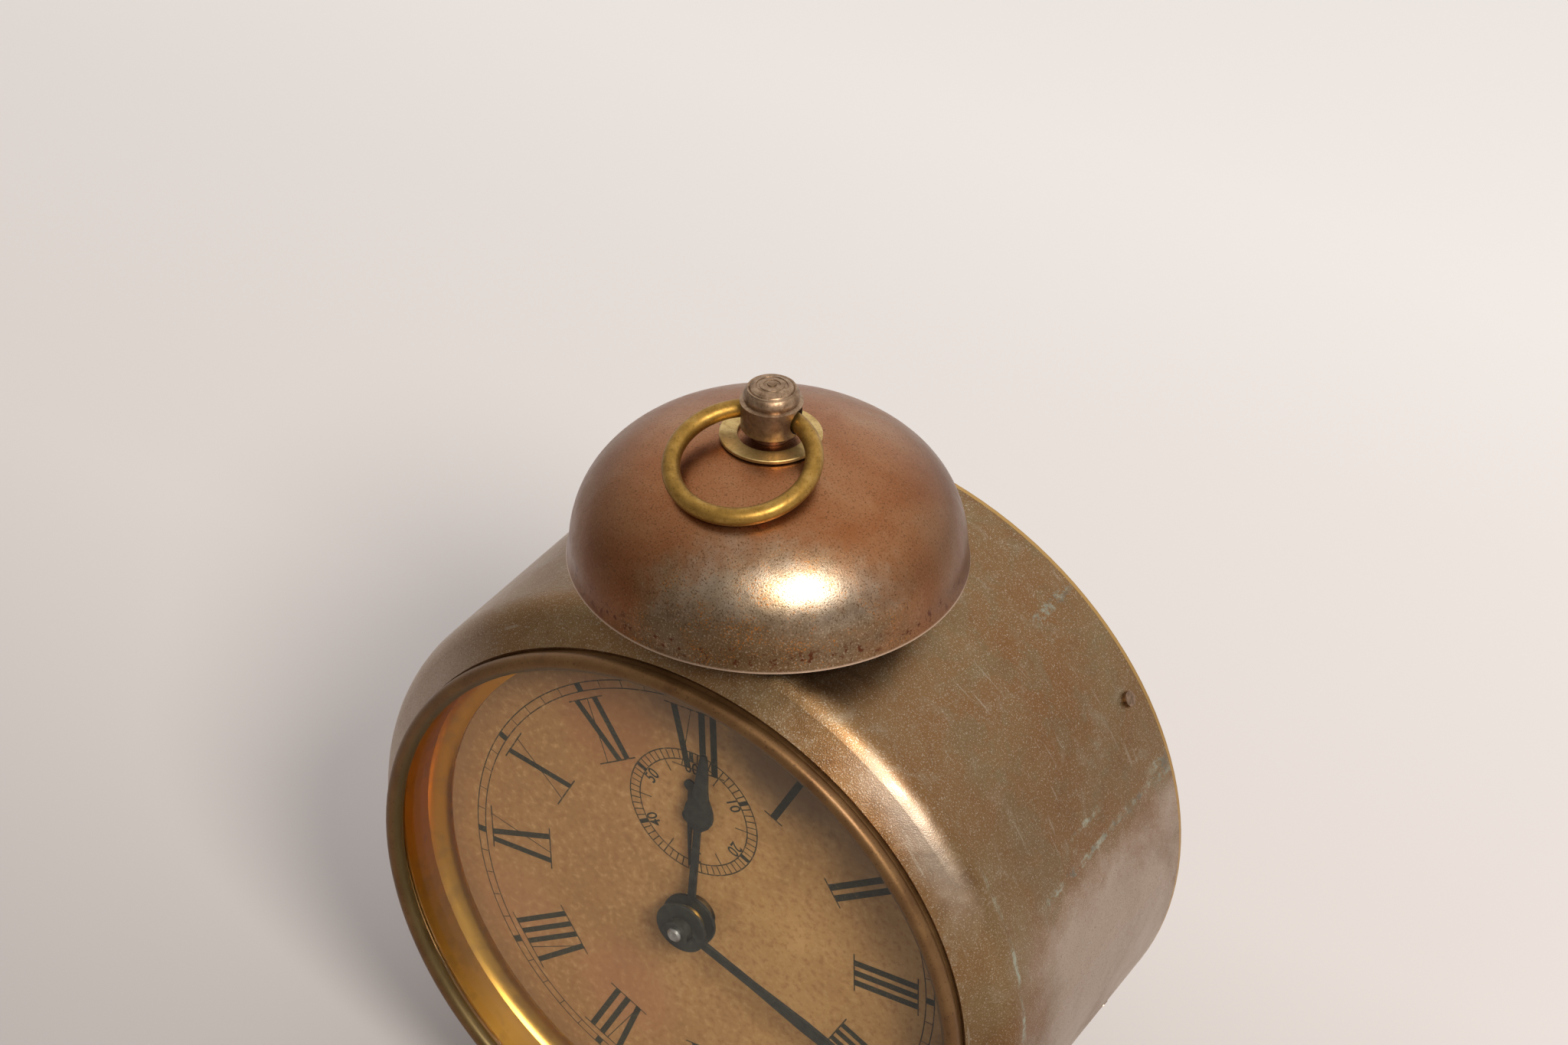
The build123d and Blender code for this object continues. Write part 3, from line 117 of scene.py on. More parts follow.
# %% Node helpers
def add_node(tree, kind, inputs=None, **settings):
    """Add a shader node. An input is given a value, or the socket it is fed from."""
    made = tree.nodes.new(kind)
    for key, value in settings.items():
        setattr(made, key, value)
    for key, value in (inputs or {}).items():
        if isinstance(value, bpy.types.NodeSocket):
            tree.links.new(value, made.inputs[key])
        else:
            made.inputs[key].default_value = value
    return made


def ramp(tree, value, stops):
    """A colour ramp from (place, colour) stops. A colour of one number is a grey."""
    made = tree.nodes.new("ShaderNodeValToRGB")
    tree.links.new(value, made.inputs["Fac"])
    elements = made.color_ramp.elements
    while len(elements) < len(stops):
        elements.new(0.5)
    for element, (place, colour) in zip(elements, stops):
        element.position = place
        grey = isinstance(colour, (int, float))
        element.color = (colour, colour, colour, 1) if grey else (*colour, 1)
    return made.outputs["Color"]


def calculate(tree, operation, first, second):
    """One Math node."""
    return add_node(tree, "ShaderNodeMath", {0: first, 1: second}, operation=operation).outputs["Value"]


def multiply(tree, first, *others):
    """The product of several values, one Math node each."""
    for other in others:
        first = calculate(tree, "MULTIPLY", first, other)
    return first


def dot(tree, vector, direction):
    """How far a vector reaches along a direction."""
    inputs = {0: vector, 1: direction}
    return add_node(tree, "ShaderNodeVectorMath", inputs, operation="DOT_PRODUCT").outputs["Value"]


def linear(tree, value, low, high):
    """0 at the low value and 1 at the high one, straight between them."""
    inputs = {"Value": value, "From Min": low, "From Max": high}
    return add_node(tree, "ShaderNodeMapRange", inputs).outputs["Result"]


def blend(tree, share, first, second):
    """Mix two colours, each a socket or a plain colour."""
    made = add_node(tree, "ShaderNodeMix", {0: share}, data_type="RGBA", blend_type="MIX")
    for index, value in ((6, first), (7, second)):
        if isinstance(value, bpy.types.NodeSocket):
            tree.links.new(value, made.inputs[index])
        else:
            made.inputs[index].default_value = (*value, 1)
    return made.outputs[2]


print("node helpers ready")

# %% [markdown]
# The world stands for the room: pale above and behind the clock, dim on the viewer's side. An even
# grey would be simpler, but rough metal gets its dark and pale sides from this difference.

# %% World
world = bpy.data.worlds.new("studio")
bpy.context.scene.world = world
world.use_nodes = True
tree = world.node_tree
background = tree.nodes["Background"]
direction = add_node(tree, "ShaderNodeTexCoord").outputs["Generated"]
up_and_back = (0, 0.75, 0.62)
room = ramp(tree, linear(tree, dot(tree, direction, up_and_back), -1, 1), [
    (0.0, (0.24, 0.22, 0.21)),
    (0.45, (0.40, 0.375, 0.36)),
    (0.66, (0.62, 0.59, 0.57)),
    (0.82, (1.0, 0.96, 0.94)),
    (1.0, (1.15, 1.12, 1.1)),
])
tree.links.new(room, background.inputs["Color"])
background.inputs["Strength"].default_value = 1.0
print("world nodes:", len(tree.nodes))

# %% [markdown]
# The floor is a wide sheet of pale paper. It is palest behind the clock and falls off towards the
# viewer, which is also what the glass and the bell's lower side reflect. A second lamp could make
# this, but it would add a second highlight, so the paper's own colour does it. Far behind, the
# camera alone sees a little more light.

# %% Floor
def new_material(name, base, metallic=0.0, roughness=0.5):
    """A material whose plain values stand on the Principled shader's own sockets."""
    material = bpy.data.materials.new(name)
    material.use_nodes = True
    shader = material.node_tree.nodes["Principled BSDF"]
    shader.inputs["Base Color"].default_value = (*base, 1)
    shader.inputs["Metallic"].default_value = metallic
    shader.inputs["Roughness"].default_value = roughness
    return material, material.node_tree, shader


bpy.ops.object.select_all(action="DESELECT")
bpy.ops.mesh.primitive_plane_add(size=8, location=(0, 0, 0))
floor = bpy.context.object
floor.name = "paper_floor"
paper_material, tree, shader = new_material("floor_paper", (0.86, 0.80, 0.77), roughness=0.9)
shader.inputs["Specular IOR Level"].default_value = 0.1
coordinate = add_node(tree, "ShaderNodeTexCoord").outputs["Object"]
across, depth, _ = add_node(tree, "ShaderNodeSeparateXYZ", {"Vector": coordinate}).outputs
depth = linear(tree, depth, -0.5, 0.5)
paper = ramp(tree, depth, [
    (0.0, (0.34, 0.318, 0.31)),
    (0.3, (0.35, 0.327, 0.318)),
    (0.44, (0.41, 0.38, 0.37)),
    (0.585, (0.61, 0.575, 0.56)),
    (0.8, (0.69, 0.665, 0.65)),
    (1.0, (0.7, 0.68, 0.665)),
])
# Painted light: the paper is also painted paler towards the right, on the lamp's side.
paper = blend(tree, linear(tree, across, 0.08, 0.4), paper, (0.74, 0.7, 0.685))
tree.links.new(paper, shader.inputs["Base Color"])
camera_ray = add_node(tree, "ShaderNodeLightPath").outputs["Is Camera Ray"]
lift = ramp(tree, depth, [(0.6, 0.0), (0.72, 0.03), (0.82, 0.08), (1.0, 0.08)])
tree.links.new(multiply(tree, lift, camera_ray), shader.inputs["Emission Strength"])
shader.inputs["Emission Color"].default_value = (1.0, 0.97, 0.95, 1)
floor.data.materials.append(paper_material)
print("floor is", floor.dimensions.x, "m wide")

# %% [markdown]
# ## Finishes
# Old plated metal is never one colour. A picture of rust could be wrapped round it, but would stretch
# at the edges. Each finish below mixes a few tones by noise in solid space instead: broad clouds
# where hands have worn it, a fine grain of spots, and stains near the edges.

# %% Helpers for finishes
def object_place(tree, centre=(0, 0, 0), stretch=(1, 1, 1)):
    """Object coordinates in millimetres, counted from a centre in millimetres, and stretched."""
    coordinate = add_node(tree, "ShaderNodeTexCoord").outputs["Object"]
    scale = tuple(s / mm for s in stretch)
    offset = tuple(-c * s for c, s in zip(centre, stretch))
    inputs = {"Vector": coordinate, "Location": offset, "Scale": scale}
    return add_node(tree, "ShaderNodeMapping", inputs).outputs["Vector"]


def noise(tree, place, size, detail=3, roughness=0.55, distortion=0.0):
    """Noise whose blobs are about the given size in millimetres."""
    inputs = {"Vector": place, "Scale": 1 / size, "Detail": detail, "Roughness": roughness}
    inputs["Distortion"] = distortion
    return add_node(tree, "ShaderNodeTexNoise", inputs).outputs["Fac"]


def between(tree, value, low, high):
    """0 below the low value, 1 above the high one, smooth between them."""
    inputs = {"Value": value, "From Min": low, "From Max": high}
    made = add_node(tree, "ShaderNodeMapRange", inputs, interpolation_type="SMOOTHSTEP")
    return made.outputs["Result"]


def tint(tree, tone, mask, share, colour):
    """Lay a share of a colour over the tone where the mask is 1."""
    return blend(tree, multiply(tree, mask, share), tone, colour)


def feed(tree, shader, **sockets):
    """Feed the shader's named inputs."""
    for key, value in sockets.items():
        tree.links.new(value, shader.inputs[key.replace("_", " ")])


def roughen(tree, shader, height, distance):
    """A bump from a height, with the depth of one unit of height in millimetres."""
    made = add_node(tree, "ShaderNodeBump", {"Height": height, "Distance": distance * mm, "Strength": 1.0})
    tree.links.new(made.outputs["Normal"], shader.inputs["Normal"])


def give(material, *names):
    """Put a finish on CAD pieces."""
    for name in names:
        nodes[name].material_slots[0].material = material
    print(material.name, "has", len(material.node_tree.nodes), "nodes and is on", len(names), "nodes")


# %% [markdown]
# Stains, streaks, worn places, painted shade and painted highlights sit at real places on the clock.
# They could be painted on a texture, but the pieces have no seams laid out for that. These helpers
# give a mask that is 1 in the middle of such a spot and 0 away from it, with an edge torn by noise.

# %% Masks for stains and painted light
def ragged(tree, place, value, size, amount):
    """Push a value up and down with noise, so that an edge made from it looks torn."""
    wobble = calculate(tree, "SUBTRACT", noise(tree, place, size, 4, 0.65), 0.5)
    return calculate(tree, "ADD", value, multiply(tree, wobble, amount))


def spot(tree, place, centre, radius, size=3.0, amount=8.0):
    """A spot round a centre in millimetres, for stains and for painted shade."""
    made = add_node(tree, "ShaderNodeVectorMath", {0: place, 1: centre}, operation="DISTANCE")
    away = ragged(tree, place, made.outputs["Value"], size, amount)
    return between(tree, away, radius * 1.25, radius * 0.5)


def band(tree, place, value, low, high, edge, size, amount):
    """1 where a value lies between two limits, with soft ragged edges."""
    value = ragged(tree, place, value, size, amount)
    rising = between(tree, value, low - edge, low + edge)
    return multiply(tree, rising, between(tree, value, high + edge, high - edge))


def axes(tree, place):
    """The three coordinates of a place."""
    return add_node(tree, "ShaderNodeSeparateXYZ", {"Vector": place}).outputs


def around(tree, place):
    """The angle round the drum in degrees, from the top and clockwise as seen from the front."""
    x, _, z = axes(tree, place)
    return multiply(tree, calculate(tree, "ARCTAN2", x, z), 180 / math.pi)


def from_axis(tree, place):
    """The distance from the drum's axis."""
    x, _, z = axes(tree, place)
    flat = add_node(tree, "ShaderNodeCombineXYZ", {"X": x, "Z": z}).outputs["Vector"]
    return add_node(tree, "ShaderNodeVectorMath", {0: flat}, operation="LENGTH").outputs["Value"]


print("mask helpers ready")

# %% [markdown]
# ### The case
# The drum and its rolled shoulder are brass sheet that was nickel plated. The plate has worn to a
# brown skin with olive clouds. One noise would make it look like marble, because wear has marks of
# many sizes. So the colour is built up as a painter would: a broad tone first, then paler and darker
# patches over it. Depth is counted backwards from the bead, and the angle clockwise from the top.

# %% Case, the worn skin
case_material, tree, shader = new_material("worn_nickel_case", (0.2, 0.15, 0.1), 1.0, 0.4)
place = object_place(tree, drum_front)
depth = axes(tree, place)[1]
angle = around(tree, place)
clouds = noise(tree, place, 24, 5, 0.62, 0.4)
patches = noise(tree, place, 5, 6, 0.7, 0.8)
grain = noise(tree, place, 0.22, 2, 0.55)
tone = ramp(tree, clouds, [
    (0.32, (0.205, 0.1, 0.038)),
    (0.5, (0.215, 0.122, 0.052)),
    (0.68, (0.225, 0.15, 0.072)),
])
olive = between(tree, noise(tree, place, 9, 5, 0.68, 0.6), 0.48, 0.6)
olive = multiply(tree, olive, between(tree, ragged(tree, place, depth, 6, 9), 12, 22))
tone = tint(tree, tone, olive, 0.45, (0.18, 0.14, 0.075))
tone = tint(tree, tone, between(tree, patches, 0.52, 0.7), 0.5, (0.29, 0.225, 0.15))
tone = tint(tree, tone, between(tree, patches, 0.46, 0.32), 0.5, (0.17, 0.085, 0.036))
print("nodes in the case's skin:", len(tree.nodes))

# %% [markdown]
# Low on both sides the case is painted pale, a painted reflection of the paper floor. The crest of
# the shoulder is painted paler where the lamp's highlight falls: partly worn plating and partly a
# painted highlight. Such places could be pieces of their own, but they have no outline, so they are
# masks of the angle and the depth. Over all of it lies a fine grain of bright and dark specks, which
# breaks up the lamp's highlight as pitted plating does.

# %% Case, painted reflection, painted highlight and grain
# Painted reflection of the paper floor: the case is painted pale low on both sides.
right_side = between(tree, ragged(tree, place, angle, 5, 12), 69, 79)
right_side = multiply(tree, right_side, between(tree, angle, 170, 120))
right_side = multiply(tree, right_side, between(tree, ragged(tree, place, depth, 6, 22), 6, 26))
right_side = multiply(tree, right_side, between(tree, clouds, 0.2, 0.55), 0.8)
left_side = multiply(tree, between(tree, angle, -32, -55), 0.7)
painted_floor_reflection = calculate(tree, "MAXIMUM", right_side, left_side)
tone = blend(tree, painted_floor_reflection, tone, (0.45, 0.36, 0.295))
tone = tint(tree, tone, between(tree, grain, 0.57, 0.66), 0.5, (0.5, 0.43, 0.34))
tone = tint(tree, tone, between(tree, grain, 0.42, 0.32), 0.6, (0.16, 0.085, 0.045))
# Painted highlight on the shoulder's crest, where the lamp's highlight falls, laid as paler worn plating.
crest_wear_and_highlight = band(tree, place, depth, 3.2, 6.4, 1.6, 4, 2)
crest_wear_and_highlight = multiply(tree, crest_wear_and_highlight, band(tree, place, angle, 36, 60, 10, 8, 8))
tone = tint(tree, tone, crest_wear_and_highlight, 0.6, (0.4, 0.335, 0.275))
print("nodes with the rubbed places:", len(tree.nodes))

# %% [markdown]
# Brass turns green where the plating is cut through: in the crease behind the shoulder and along a
# few old scratches. Scratches could be cut into the sheet, but they are too shallow to show. Each is
# a narrow band of angle and depth, broken by noise. The crust is not a metal, so it also lowers the
# metallic value.

# %% Case, green crust and scratches
crust = band(tree, place, depth, 9.2, 10.1, 0.25, 1.2, 1.4)
crust = multiply(tree, crust, between(tree, patches, 0.42, 0.6))
crust = multiply(tree, crust, band(tree, place, angle, 62, 120, 14, 6, 8))
old_scratches = [
    (36.8, 38.4, 49, 59.6),
    (65.6, 66.4, 31, 40),
    (70.0, 71.2, 20, 54),
    (68.0, 72.0, 55, 61),
]
for start_angle, end_angle, start_depth, end_depth in old_scratches:
    mark = band(tree, place, angle, start_angle, end_angle, 0.3, 1.6, 1.8)
    mark = multiply(tree, mark, band(tree, place, depth, start_depth, end_depth, 2.0, 2.5, 5.0))
    mark = multiply(tree, mark, between(tree, noise(tree, place, 1.3, 4, 0.7), 0.42, 0.6), 0.9)
    crust = calculate(tree, "MAXIMUM", crust, mark)
crust_tone = ramp(tree, patches, [(0.4, (0.08, 0.065, 0.04)), (0.56, (0.21, 0.215, 0.16))])
tone = blend(tree, crust, tone, crust_tone)
streaks = noise(tree, object_place(tree, stretch=(0.15, 2.2, 0.15)), 1.4, 2, 0.4)
tone = tint(tree, tone, between(tree, streaks, 0.68, 0.74), 0.35, (0.4, 0.34, 0.26))
metal = calculate(tree, "SUBTRACT", 1.0, multiply(tree, crust, 0.8))
rough = ramp(tree, patches, [(0.3, 0.34), (0.7, 0.48)])
feed(tree, shader, Base_Color=tone, Metallic=metal, Roughness=rough)
dents = multiply(tree, noise(tree, place, 11, 2, 0.4), 5.0)
roughen(tree, shader, calculate(tree, "ADD", dents, multiply(tree, grain, 0.45)), 0.05)
give(case_material, "case_band", "front_shoulder")

# %% [markdown]
# ### The bell
# The bell is turned from thicker metal and was plated too. Most of its plating is gone, leaving a
# copper-brown skin, and both sides, as the camera sees them, carry painted shade. The case's recipe
# would be too dull for it, so the bell gets its own. Places are counted from the middle of the bell's
# mouth.

# %% Bell, the copper skin
bell_material, tree, shader = new_material("worn_copper_bell", (0.2, 0.12, 0.08), 1.0, 0.33)
bell_low, bell_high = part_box("bell")
bell_axis = (
    (bell_low.x + bell_high.x) / 2 / mm,
    (bell_low.y + bell_high.y) / 2 / mm,
    bell_low.z / mm,
)
place = object_place(tree, bell_axis)
height = axes(tree, place)[2]
clouds = noise(tree, place, 15, 4, 0.6, 0.5)
patches = noise(tree, place, 3.5, 5, 0.7, 0.4)
grain = noise(tree, place, 0.27, 2, 0.6)
tone = ramp(tree, clouds, [
    (0.32, (0.26, 0.095, 0.035)),
    (0.55, (0.31, 0.14, 0.062)),
    (0.72, (0.33, 0.18, 0.095)),
])
# Painted shade: the bell is darkened at both sides across the camera's view.
sideways = calculate(tree, "ABSOLUTE", dot(tree, place, (0.86, 0.5, 0)), 0.0)
tone = tint(tree, tone, between(tree, sideways, 14, 28), 0.65, (0.13, 0.056, 0.024))
print("nodes in the bell's skin:", len(tree.nodes))

# %% [markdown]
# A worn patch of silvery plating is left at the front, where the lamp's highlight falls; round that
# highlight its silver is partly a painted sheen. It is dull olive low down. A hard edge would look
# like paint, but plating goes speck by speck, so bright, orange and dark grains break it up.

# %% Bell, the rest of its plating and a painted sheen
# Worn plating and painted sheen: a silvery patch facing the camera, round the lamp's highlight.
front = dot(tree, place, (0.5, -0.86, 0))
plating_and_sheen = between(tree, ragged(tree, place, front, 6, 12), 18.5, 26)
silver = ramp(tree, clouds, [
    (0.3, (0.2, 0.135, 0.06)),
    (0.5, (0.34, 0.26, 0.165)),
    (0.65, (0.46, 0.39, 0.3)),
])
low = between(tree, ragged(tree, place, height, 4, 7), 11, 5)
silver = tint(tree, silver, low, 0.85, (0.09, 0.064, 0.03))
tone = tint(tree, tone, plating_and_sheen, 0.8, silver)
sparkle_share = calculate(tree, "ADD", 0.12, multiply(tree, plating_and_sheen, 0.45))
tone = tint(tree, tone, between(tree, grain, 0.58, 0.67), sparkle_share, (0.46, 0.36, 0.26))
orange = between(tree, noise(tree, place, 0.3, 2, 0.6), 0.54, 0.64)
orange = multiply(tree, orange, multiply(tree, plating_and_sheen, between(tree, patches, 0.45, 0.6)))
tone = tint(tree, tone, orange, 0.85, (0.42, 0.15, 0.025))
tone = tint(tree, tone, between(tree, grain, 0.43, 0.35), 0.75, (0.11, 0.055, 0.025))
print("nodes with the plating:", len(tree.nodes))

# %% [markdown]
# Rust-brown spots follow the rim, where fingers reach, and the rim's lowest edge is painted paler, a
# thin bright line. The edge could be a face of its own, but the height above the mouth finds both
# places without one.

# %% Bell, rim and relief
rust = between(tree, noise(tree, place, 1.4, 4, 0.7), 0.56, 0.62)
rust = multiply(tree, rust, band(tree, place, height, 0.8, 3.4, 1.0, 2.0, 2.0))
tone = tint(tree, tone, rust, 0.9, (0.09, 0.025, 0.01))
tone = blend(tree, between(tree, height, 0.4, 0.05), tone, (0.5, 0.36, 0.26))
feed(tree, shader, Base_Color=tone, Roughness=ramp(tree, patches, [(0.3, 0.27), (0.7, 0.4)]))
dents = multiply(tree, noise(tree, place, 9, 2, 0.4), 3.0)
roughen(tree, shader, calculate(tree, "ADD", dents, multiply(tree, grain, 0.4)), 0.05)
give(bell_material, "bell")

# %% [markdown]
# ### The bead round the glass
# The bead is a rolled brass tube with a dark copper-brown skin. Olive grime stays on its inside,
# where it meets the glass. It is partly a dull skin and not bare metal, so its metallic value lies
# below 1 and a trace of coat stands for old lacquer.

# %% Finish of the bead
bead_material, tree, shader = new_material("browned_bead", (0.3, 0.17, 0.08), 0.75, 0.45)
shader.inputs["Coat Weight"].default_value = 0.04
shader.inputs["Coat Roughness"].default_value = 0.12
place = object_place(tree, drum_front)
radius = from_axis(tree, place)
clouds = noise(tree, place, 7, 5, 0.65, 0.5)
grain = noise(tree, place, 0.35, 3, 0.6)
tone = ramp(tree, clouds, [
    (0.3, (0.11, 0.052, 0.018)),
    (0.55, (0.15, 0.076, 0.027)),
    (0.8, (0.18, 0.1, 0.037)),
])
tone = tint(tree, tone, between(tree, grain, 0.42, 0.32), 0.6, (0.05, 0.024, 0.01))
tone = tint(tree, tone, between(tree, radius, 50.3, 49.3), 0.75, (0.08, 0.06, 0.02))
feed(tree, shader, Base_Color=tone, Roughness=ramp(tree, clouds, [(0.3, 0.36), (0.7, 0.5)]))
roughen(tree, shader, grain, 0.02)
give(bead_material, "bezel_ring")

# %% [markdown]
# ### Brass pieces
# Handled brass keeps a yellow shine on its high places, and tarnish is olive brown and lies in
# clouds. Ring, washer, finial, screws, keys and wheels differ only in their tones, so one recipe
# serves them all.

# %% Brass finishes
def brass(name, dark, middle, bright, size, roughness):
    """A tarnished brass from three tones, dark to bright, with clouds of a size in millimetres."""
    material, tree, shader = new_material(name, middle, 1.0, roughness)
    place = object_place(tree)
    clouds = noise(tree, place, size, 5, 0.65, 0.4)
    grain = noise(tree, place, 0.4, 3, 0.6)
    tone = ramp(tree, clouds, [(0.32, dark), (0.52, middle), (0.72, bright)])
    pits = tuple(c * 0.45 for c in middle)
    tone = tint(tree, tone, between(tree, grain, 0.42, 0.33), 0.6, pits)
    rough = ramp(tree, clouds, [(0.3, roughness + 0.1), (0.7, roughness - 0.05)])
    feed(tree, shader, Base_Color=tone, Roughness=rough)
    roughen(tree, shader, grain, 0.015)
    return material


ring_tones = (0.24, 0.135, 0.03), (0.34, 0.195, 0.045), (0.42, 0.26, 0.075)
give(brass("ring_brass", *ring_tones, 2.2, 0.42), "carry_ring")
washer_tones = (0.4, 0.27, 0.1), (0.55, 0.39, 0.155), (0.62, 0.47, 0.22)
give(brass("washer_brass", *washer_tones, 1.6, 0.42), "bell_washer")
finial_tones = (0.17, 0.105, 0.06), (0.3, 0.2, 0.125), (0.42, 0.3, 0.2)
give(brass("finial_brass", *finial_tones, 1.3, 0.42), "finial", "bell_post")
screw_tones = (0.14, 0.09, 0.055), (0.24, 0.155, 0.1), (0.38, 0.26, 0.17)
give(brass("screw_copper", *screw_tones, 0.8, 0.24), "side_screws", "cover_screws")
key_tones = (0.3, 0.2, 0.07), (0.44, 0.31, 0.12), (0.54, 0.41, 0.19)
give(
    brass("key_brass", *key_tones, 3.0, 0.3),
    "time_key", "alarm_key", "set_knob", "alarm_knob", "front_feet", "rear_foot",
)
works_tones = (0.42, 0.3, 0.12), (0.52, 0.39, 0.17), (0.6, 0.47, 0.23)
give(
    brass("works_brass", *works_tones, 5.0, 0.32),
    "front_plate", "back_plate", "pillars", "cover_posts", "dial_posts", "cannon_pinion",
    "minute_wheel", "hour_wheel", "centre_wheel", "third_wheel", "fourth_wheel", "escape_wheel",
    "balance", "time_great_wheel", "alarm_great_wheel", "alarm_escape_wheel", "alarm_wheel",
)

# %% [markdown]
# ### The rear cover
# The rear cover is one spun brass pan. Its rolled edge is what shows from the front: a gold line with
# a brown outer corner. Spinning leaves fine rings round the middle. Grooves could be modelled, but
# they are far too shallow, so they are noise of the distance from the axis.

# %% Finish of the rear cover
cover_material, tree, shader = new_material("spun_cover", (0.45, 0.33, 0.14), 1.0, 0.34)
place = object_place(tree, drum_front)
depth = axes(tree, place)[1]
radius = from_axis(tree, place)
outwards = add_node(tree, "ShaderNodeCombineXYZ", {"X": radius}).outputs["Vector"]
rings = noise(tree, outwards, 0.5, 3, 0.7)
clouds = noise(tree, place, 10, 5, 0.65, 0.5)
tone = ramp(tree, clouds, [
    (0.3, (0.3, 0.19, 0.08)),
    (0.52, (0.42, 0.29, 0.12)),
    (0.74, (0.5, 0.38, 0.18)),
])
tone = tint(tree, tone, between(tree, rings, 0.5, 0.3), 0.35, (0.26, 0.17, 0.07))
edge_line = between(tree, radius, 56.2, 56.6)
tone = blend(tree, edge_line, tone, (0.43, 0.26, 0.09))
tone = tint(tree, tone, edge_line, between(tree, depth, 61.05, 61.25), (0.14, 0.08, 0.04))
feed(tree, shader, Base_Color=tone)
roughen(tree, shader, rings, 0.02)
give(cover_material, "back_cover")

# %% [markdown]
# ### The gilt sight ring
# The sight ring was gilt so that it would throw light on the dial. Its upper part is painted amber
# and its lower part yellower: painted light, since the lamp lights the lower part of the ring. So
# the height decides between the two tones.

# %% Finish of the sight ring
gilt_material, tree, shader = new_material("gilt_sight_ring", (0.72, 0.43, 0.1), 1.0, 0.26)
place = object_place(tree, drum_front)
height = axes(tree, place)[2]
clouds = noise(tree, place, 4, 4, 0.6)
# Painted light: the lower part of the ring, where the lamp falls, is painted yellower than the upper part.
bottom = between(tree, ragged(tree, place, height, 4, 10), 5, -22)
tone = blend(tree, bottom, (0.47, 0.2, 0.02), (0.43, 0.24, 0.045))
tone = tint(tree, tone, between(tree, clouds, 0.5, 0.35), 0.35, (0.24, 0.13, 0.04))
feed(tree, shader, Base_Color=tone, Roughness=ramp(tree, clouds, [(0.3, 0.32), (0.7, 0.28)]))
give(gilt_material, "sight_ring")

# %% [markdown]
# ### Steel and blackened hands
# The hands were blackened, and age has turned them to a dull grey green. The arbors, levers and nuts
# are plain steel, and the springs have a darker blue-grey skin. One recipe with two tones is enough,
# because steel stains far less than brass.

# %% Steel finishes
def steel(name, dark, bright, metallic, roughness):
    """A steel or blackened finish from two tones."""
    material, tree, shader = new_material(name, bright, metallic, roughness)
    place = object_place(tree)
    clouds = noise(tree, place, 1.2, 5, 0.65)
    tone = ramp(tree, clouds, [(0.35, dark), (0.65, bright)])
    rough = ramp(tree, clouds, [(0.35, roughness + 0.1), (0.65, roughness - 0.04)])
    feed(tree, shader, Base_Color=tone, Roughness=rough)
    roughen(tree, shader, noise(tree, place, 0.25, 2, 0.5), 0.008)
    return material


hand_material = steel("dark_hands", (0.012, 0.012, 0.009), (0.025, 0.025, 0.018), 0.15, 0.5)
shader = hand_material.node_tree.nodes["Principled BSDF"]
shader.inputs["Specular IOR Level"].default_value = 0.25
give(hand_material, "hour_hand", "minute_hand", "seconds_hand", "hand_nut", "alarm_hand")
give(
    steel("grey_steel", (0.22, 0.21, 0.19), (0.4, 0.4, 0.37), 1.0, 0.36),
    "centre_arbor", "hammer", "stop_lever", "regulator", "foot_nuts", "post_nut", "pillar_nuts",
    "pallet_lever", "bearing_screws", "time_winding_arbor", "alarm_winding_arbor", "time_click",
    "alarm_click", "alarm_arbor", "release_lever",
)
give(
    steel("spring_steel", (0.1, 0.11, 0.14), (0.2, 0.21, 0.25), 1.0, 0.3),
    "hairspring", "time_mainspring", "alarm_mainspring",
)

# %% [markdown]
# ### The dial
# The dial is printed paper on a metal disc. The paper has gone tan with fine flecks, and it is a
# little darker on the left. Its edge is darkened with painted shade of the bezel. Damp has left
# reddish stains at eleven, seven and eight, and brown patches of painted bezel shade lie at twelve,
# one and two. Each is a spot from the list below, as (x, depth, height) from the dial's middle,
# radius, strength and colour.

# %% Finish of the dial
dial_material, tree, shader = new_material("aged_dial", (0.33, 0.23, 0.13), 0.0, 0.7)
shader.inputs["Specular IOR Level"].default_value = 0.2
place = object_place(tree, (0, dial_front / mm, axis_height / mm))
clouds = noise(tree, place, 11, 5, 0.65, 0.4)
mottle = noise(tree, place, 1.2, 4, 0.68)
fibre = noise(tree, place, 0.25, 2, 0.5)
tone = ramp(tree, clouds, [
    (0.3, (0.22, 0.118, 0.038)),
    (0.52, (0.28, 0.155, 0.052)),
    (0.75, (0.33, 0.192, 0.07)),
])
across = axes(tree, place)[0]
left_part = between(tree, ragged(tree, place, across, 12, 16), 14, -22)
tone = tint(tree, tone, left_part, 0.65, (0.2, 0.1, 0.036))
tone = tint(tree, tone, between(tree, mottle, 0.51, 0.63), 0.6, (0.19, 0.088, 0.028))
tone = tint(tree, tone, between(tree, mottle, 0.47, 0.36), 0.45, (0.36, 0.22, 0.09))
tone = tint(tree, tone, between(tree, fibre, 0.6, 0.75), 0.15, (0.15, 0.09, 0.04))
damp_stains_and_bezel_shade = [
    ((-16, 0, 30), 10, 0.55, (0.19, 0.075, 0.028)),
    ((-13, 0, -22), 10, 0.4, (0.26, 0.11, 0.05)),
    ((-34, 0, -14), 9, 0.3, (0.27, 0.13, 0.06)),
    # Painted shade of the bezel: the brown patches at one, two and twelve.
    ((17, 0, 37), 13, 0.75, (0.09, 0.05, 0.025)),
    ((32, 0, 27), 10, 0.5, (0.12, 0.065, 0.03)),
    ((-2, 0, 42), 10, 0.6, (0.12, 0.06, 0.03)),
]
for centre, radius, share, colour in damp_stains_and_bezel_shade:
    tone = tint(tree, tone, spot(tree, place, centre, radius), share, colour)
radius = add_node(tree, "ShaderNodeVectorMath", {0: place}, operation="LENGTH").outputs["Value"]
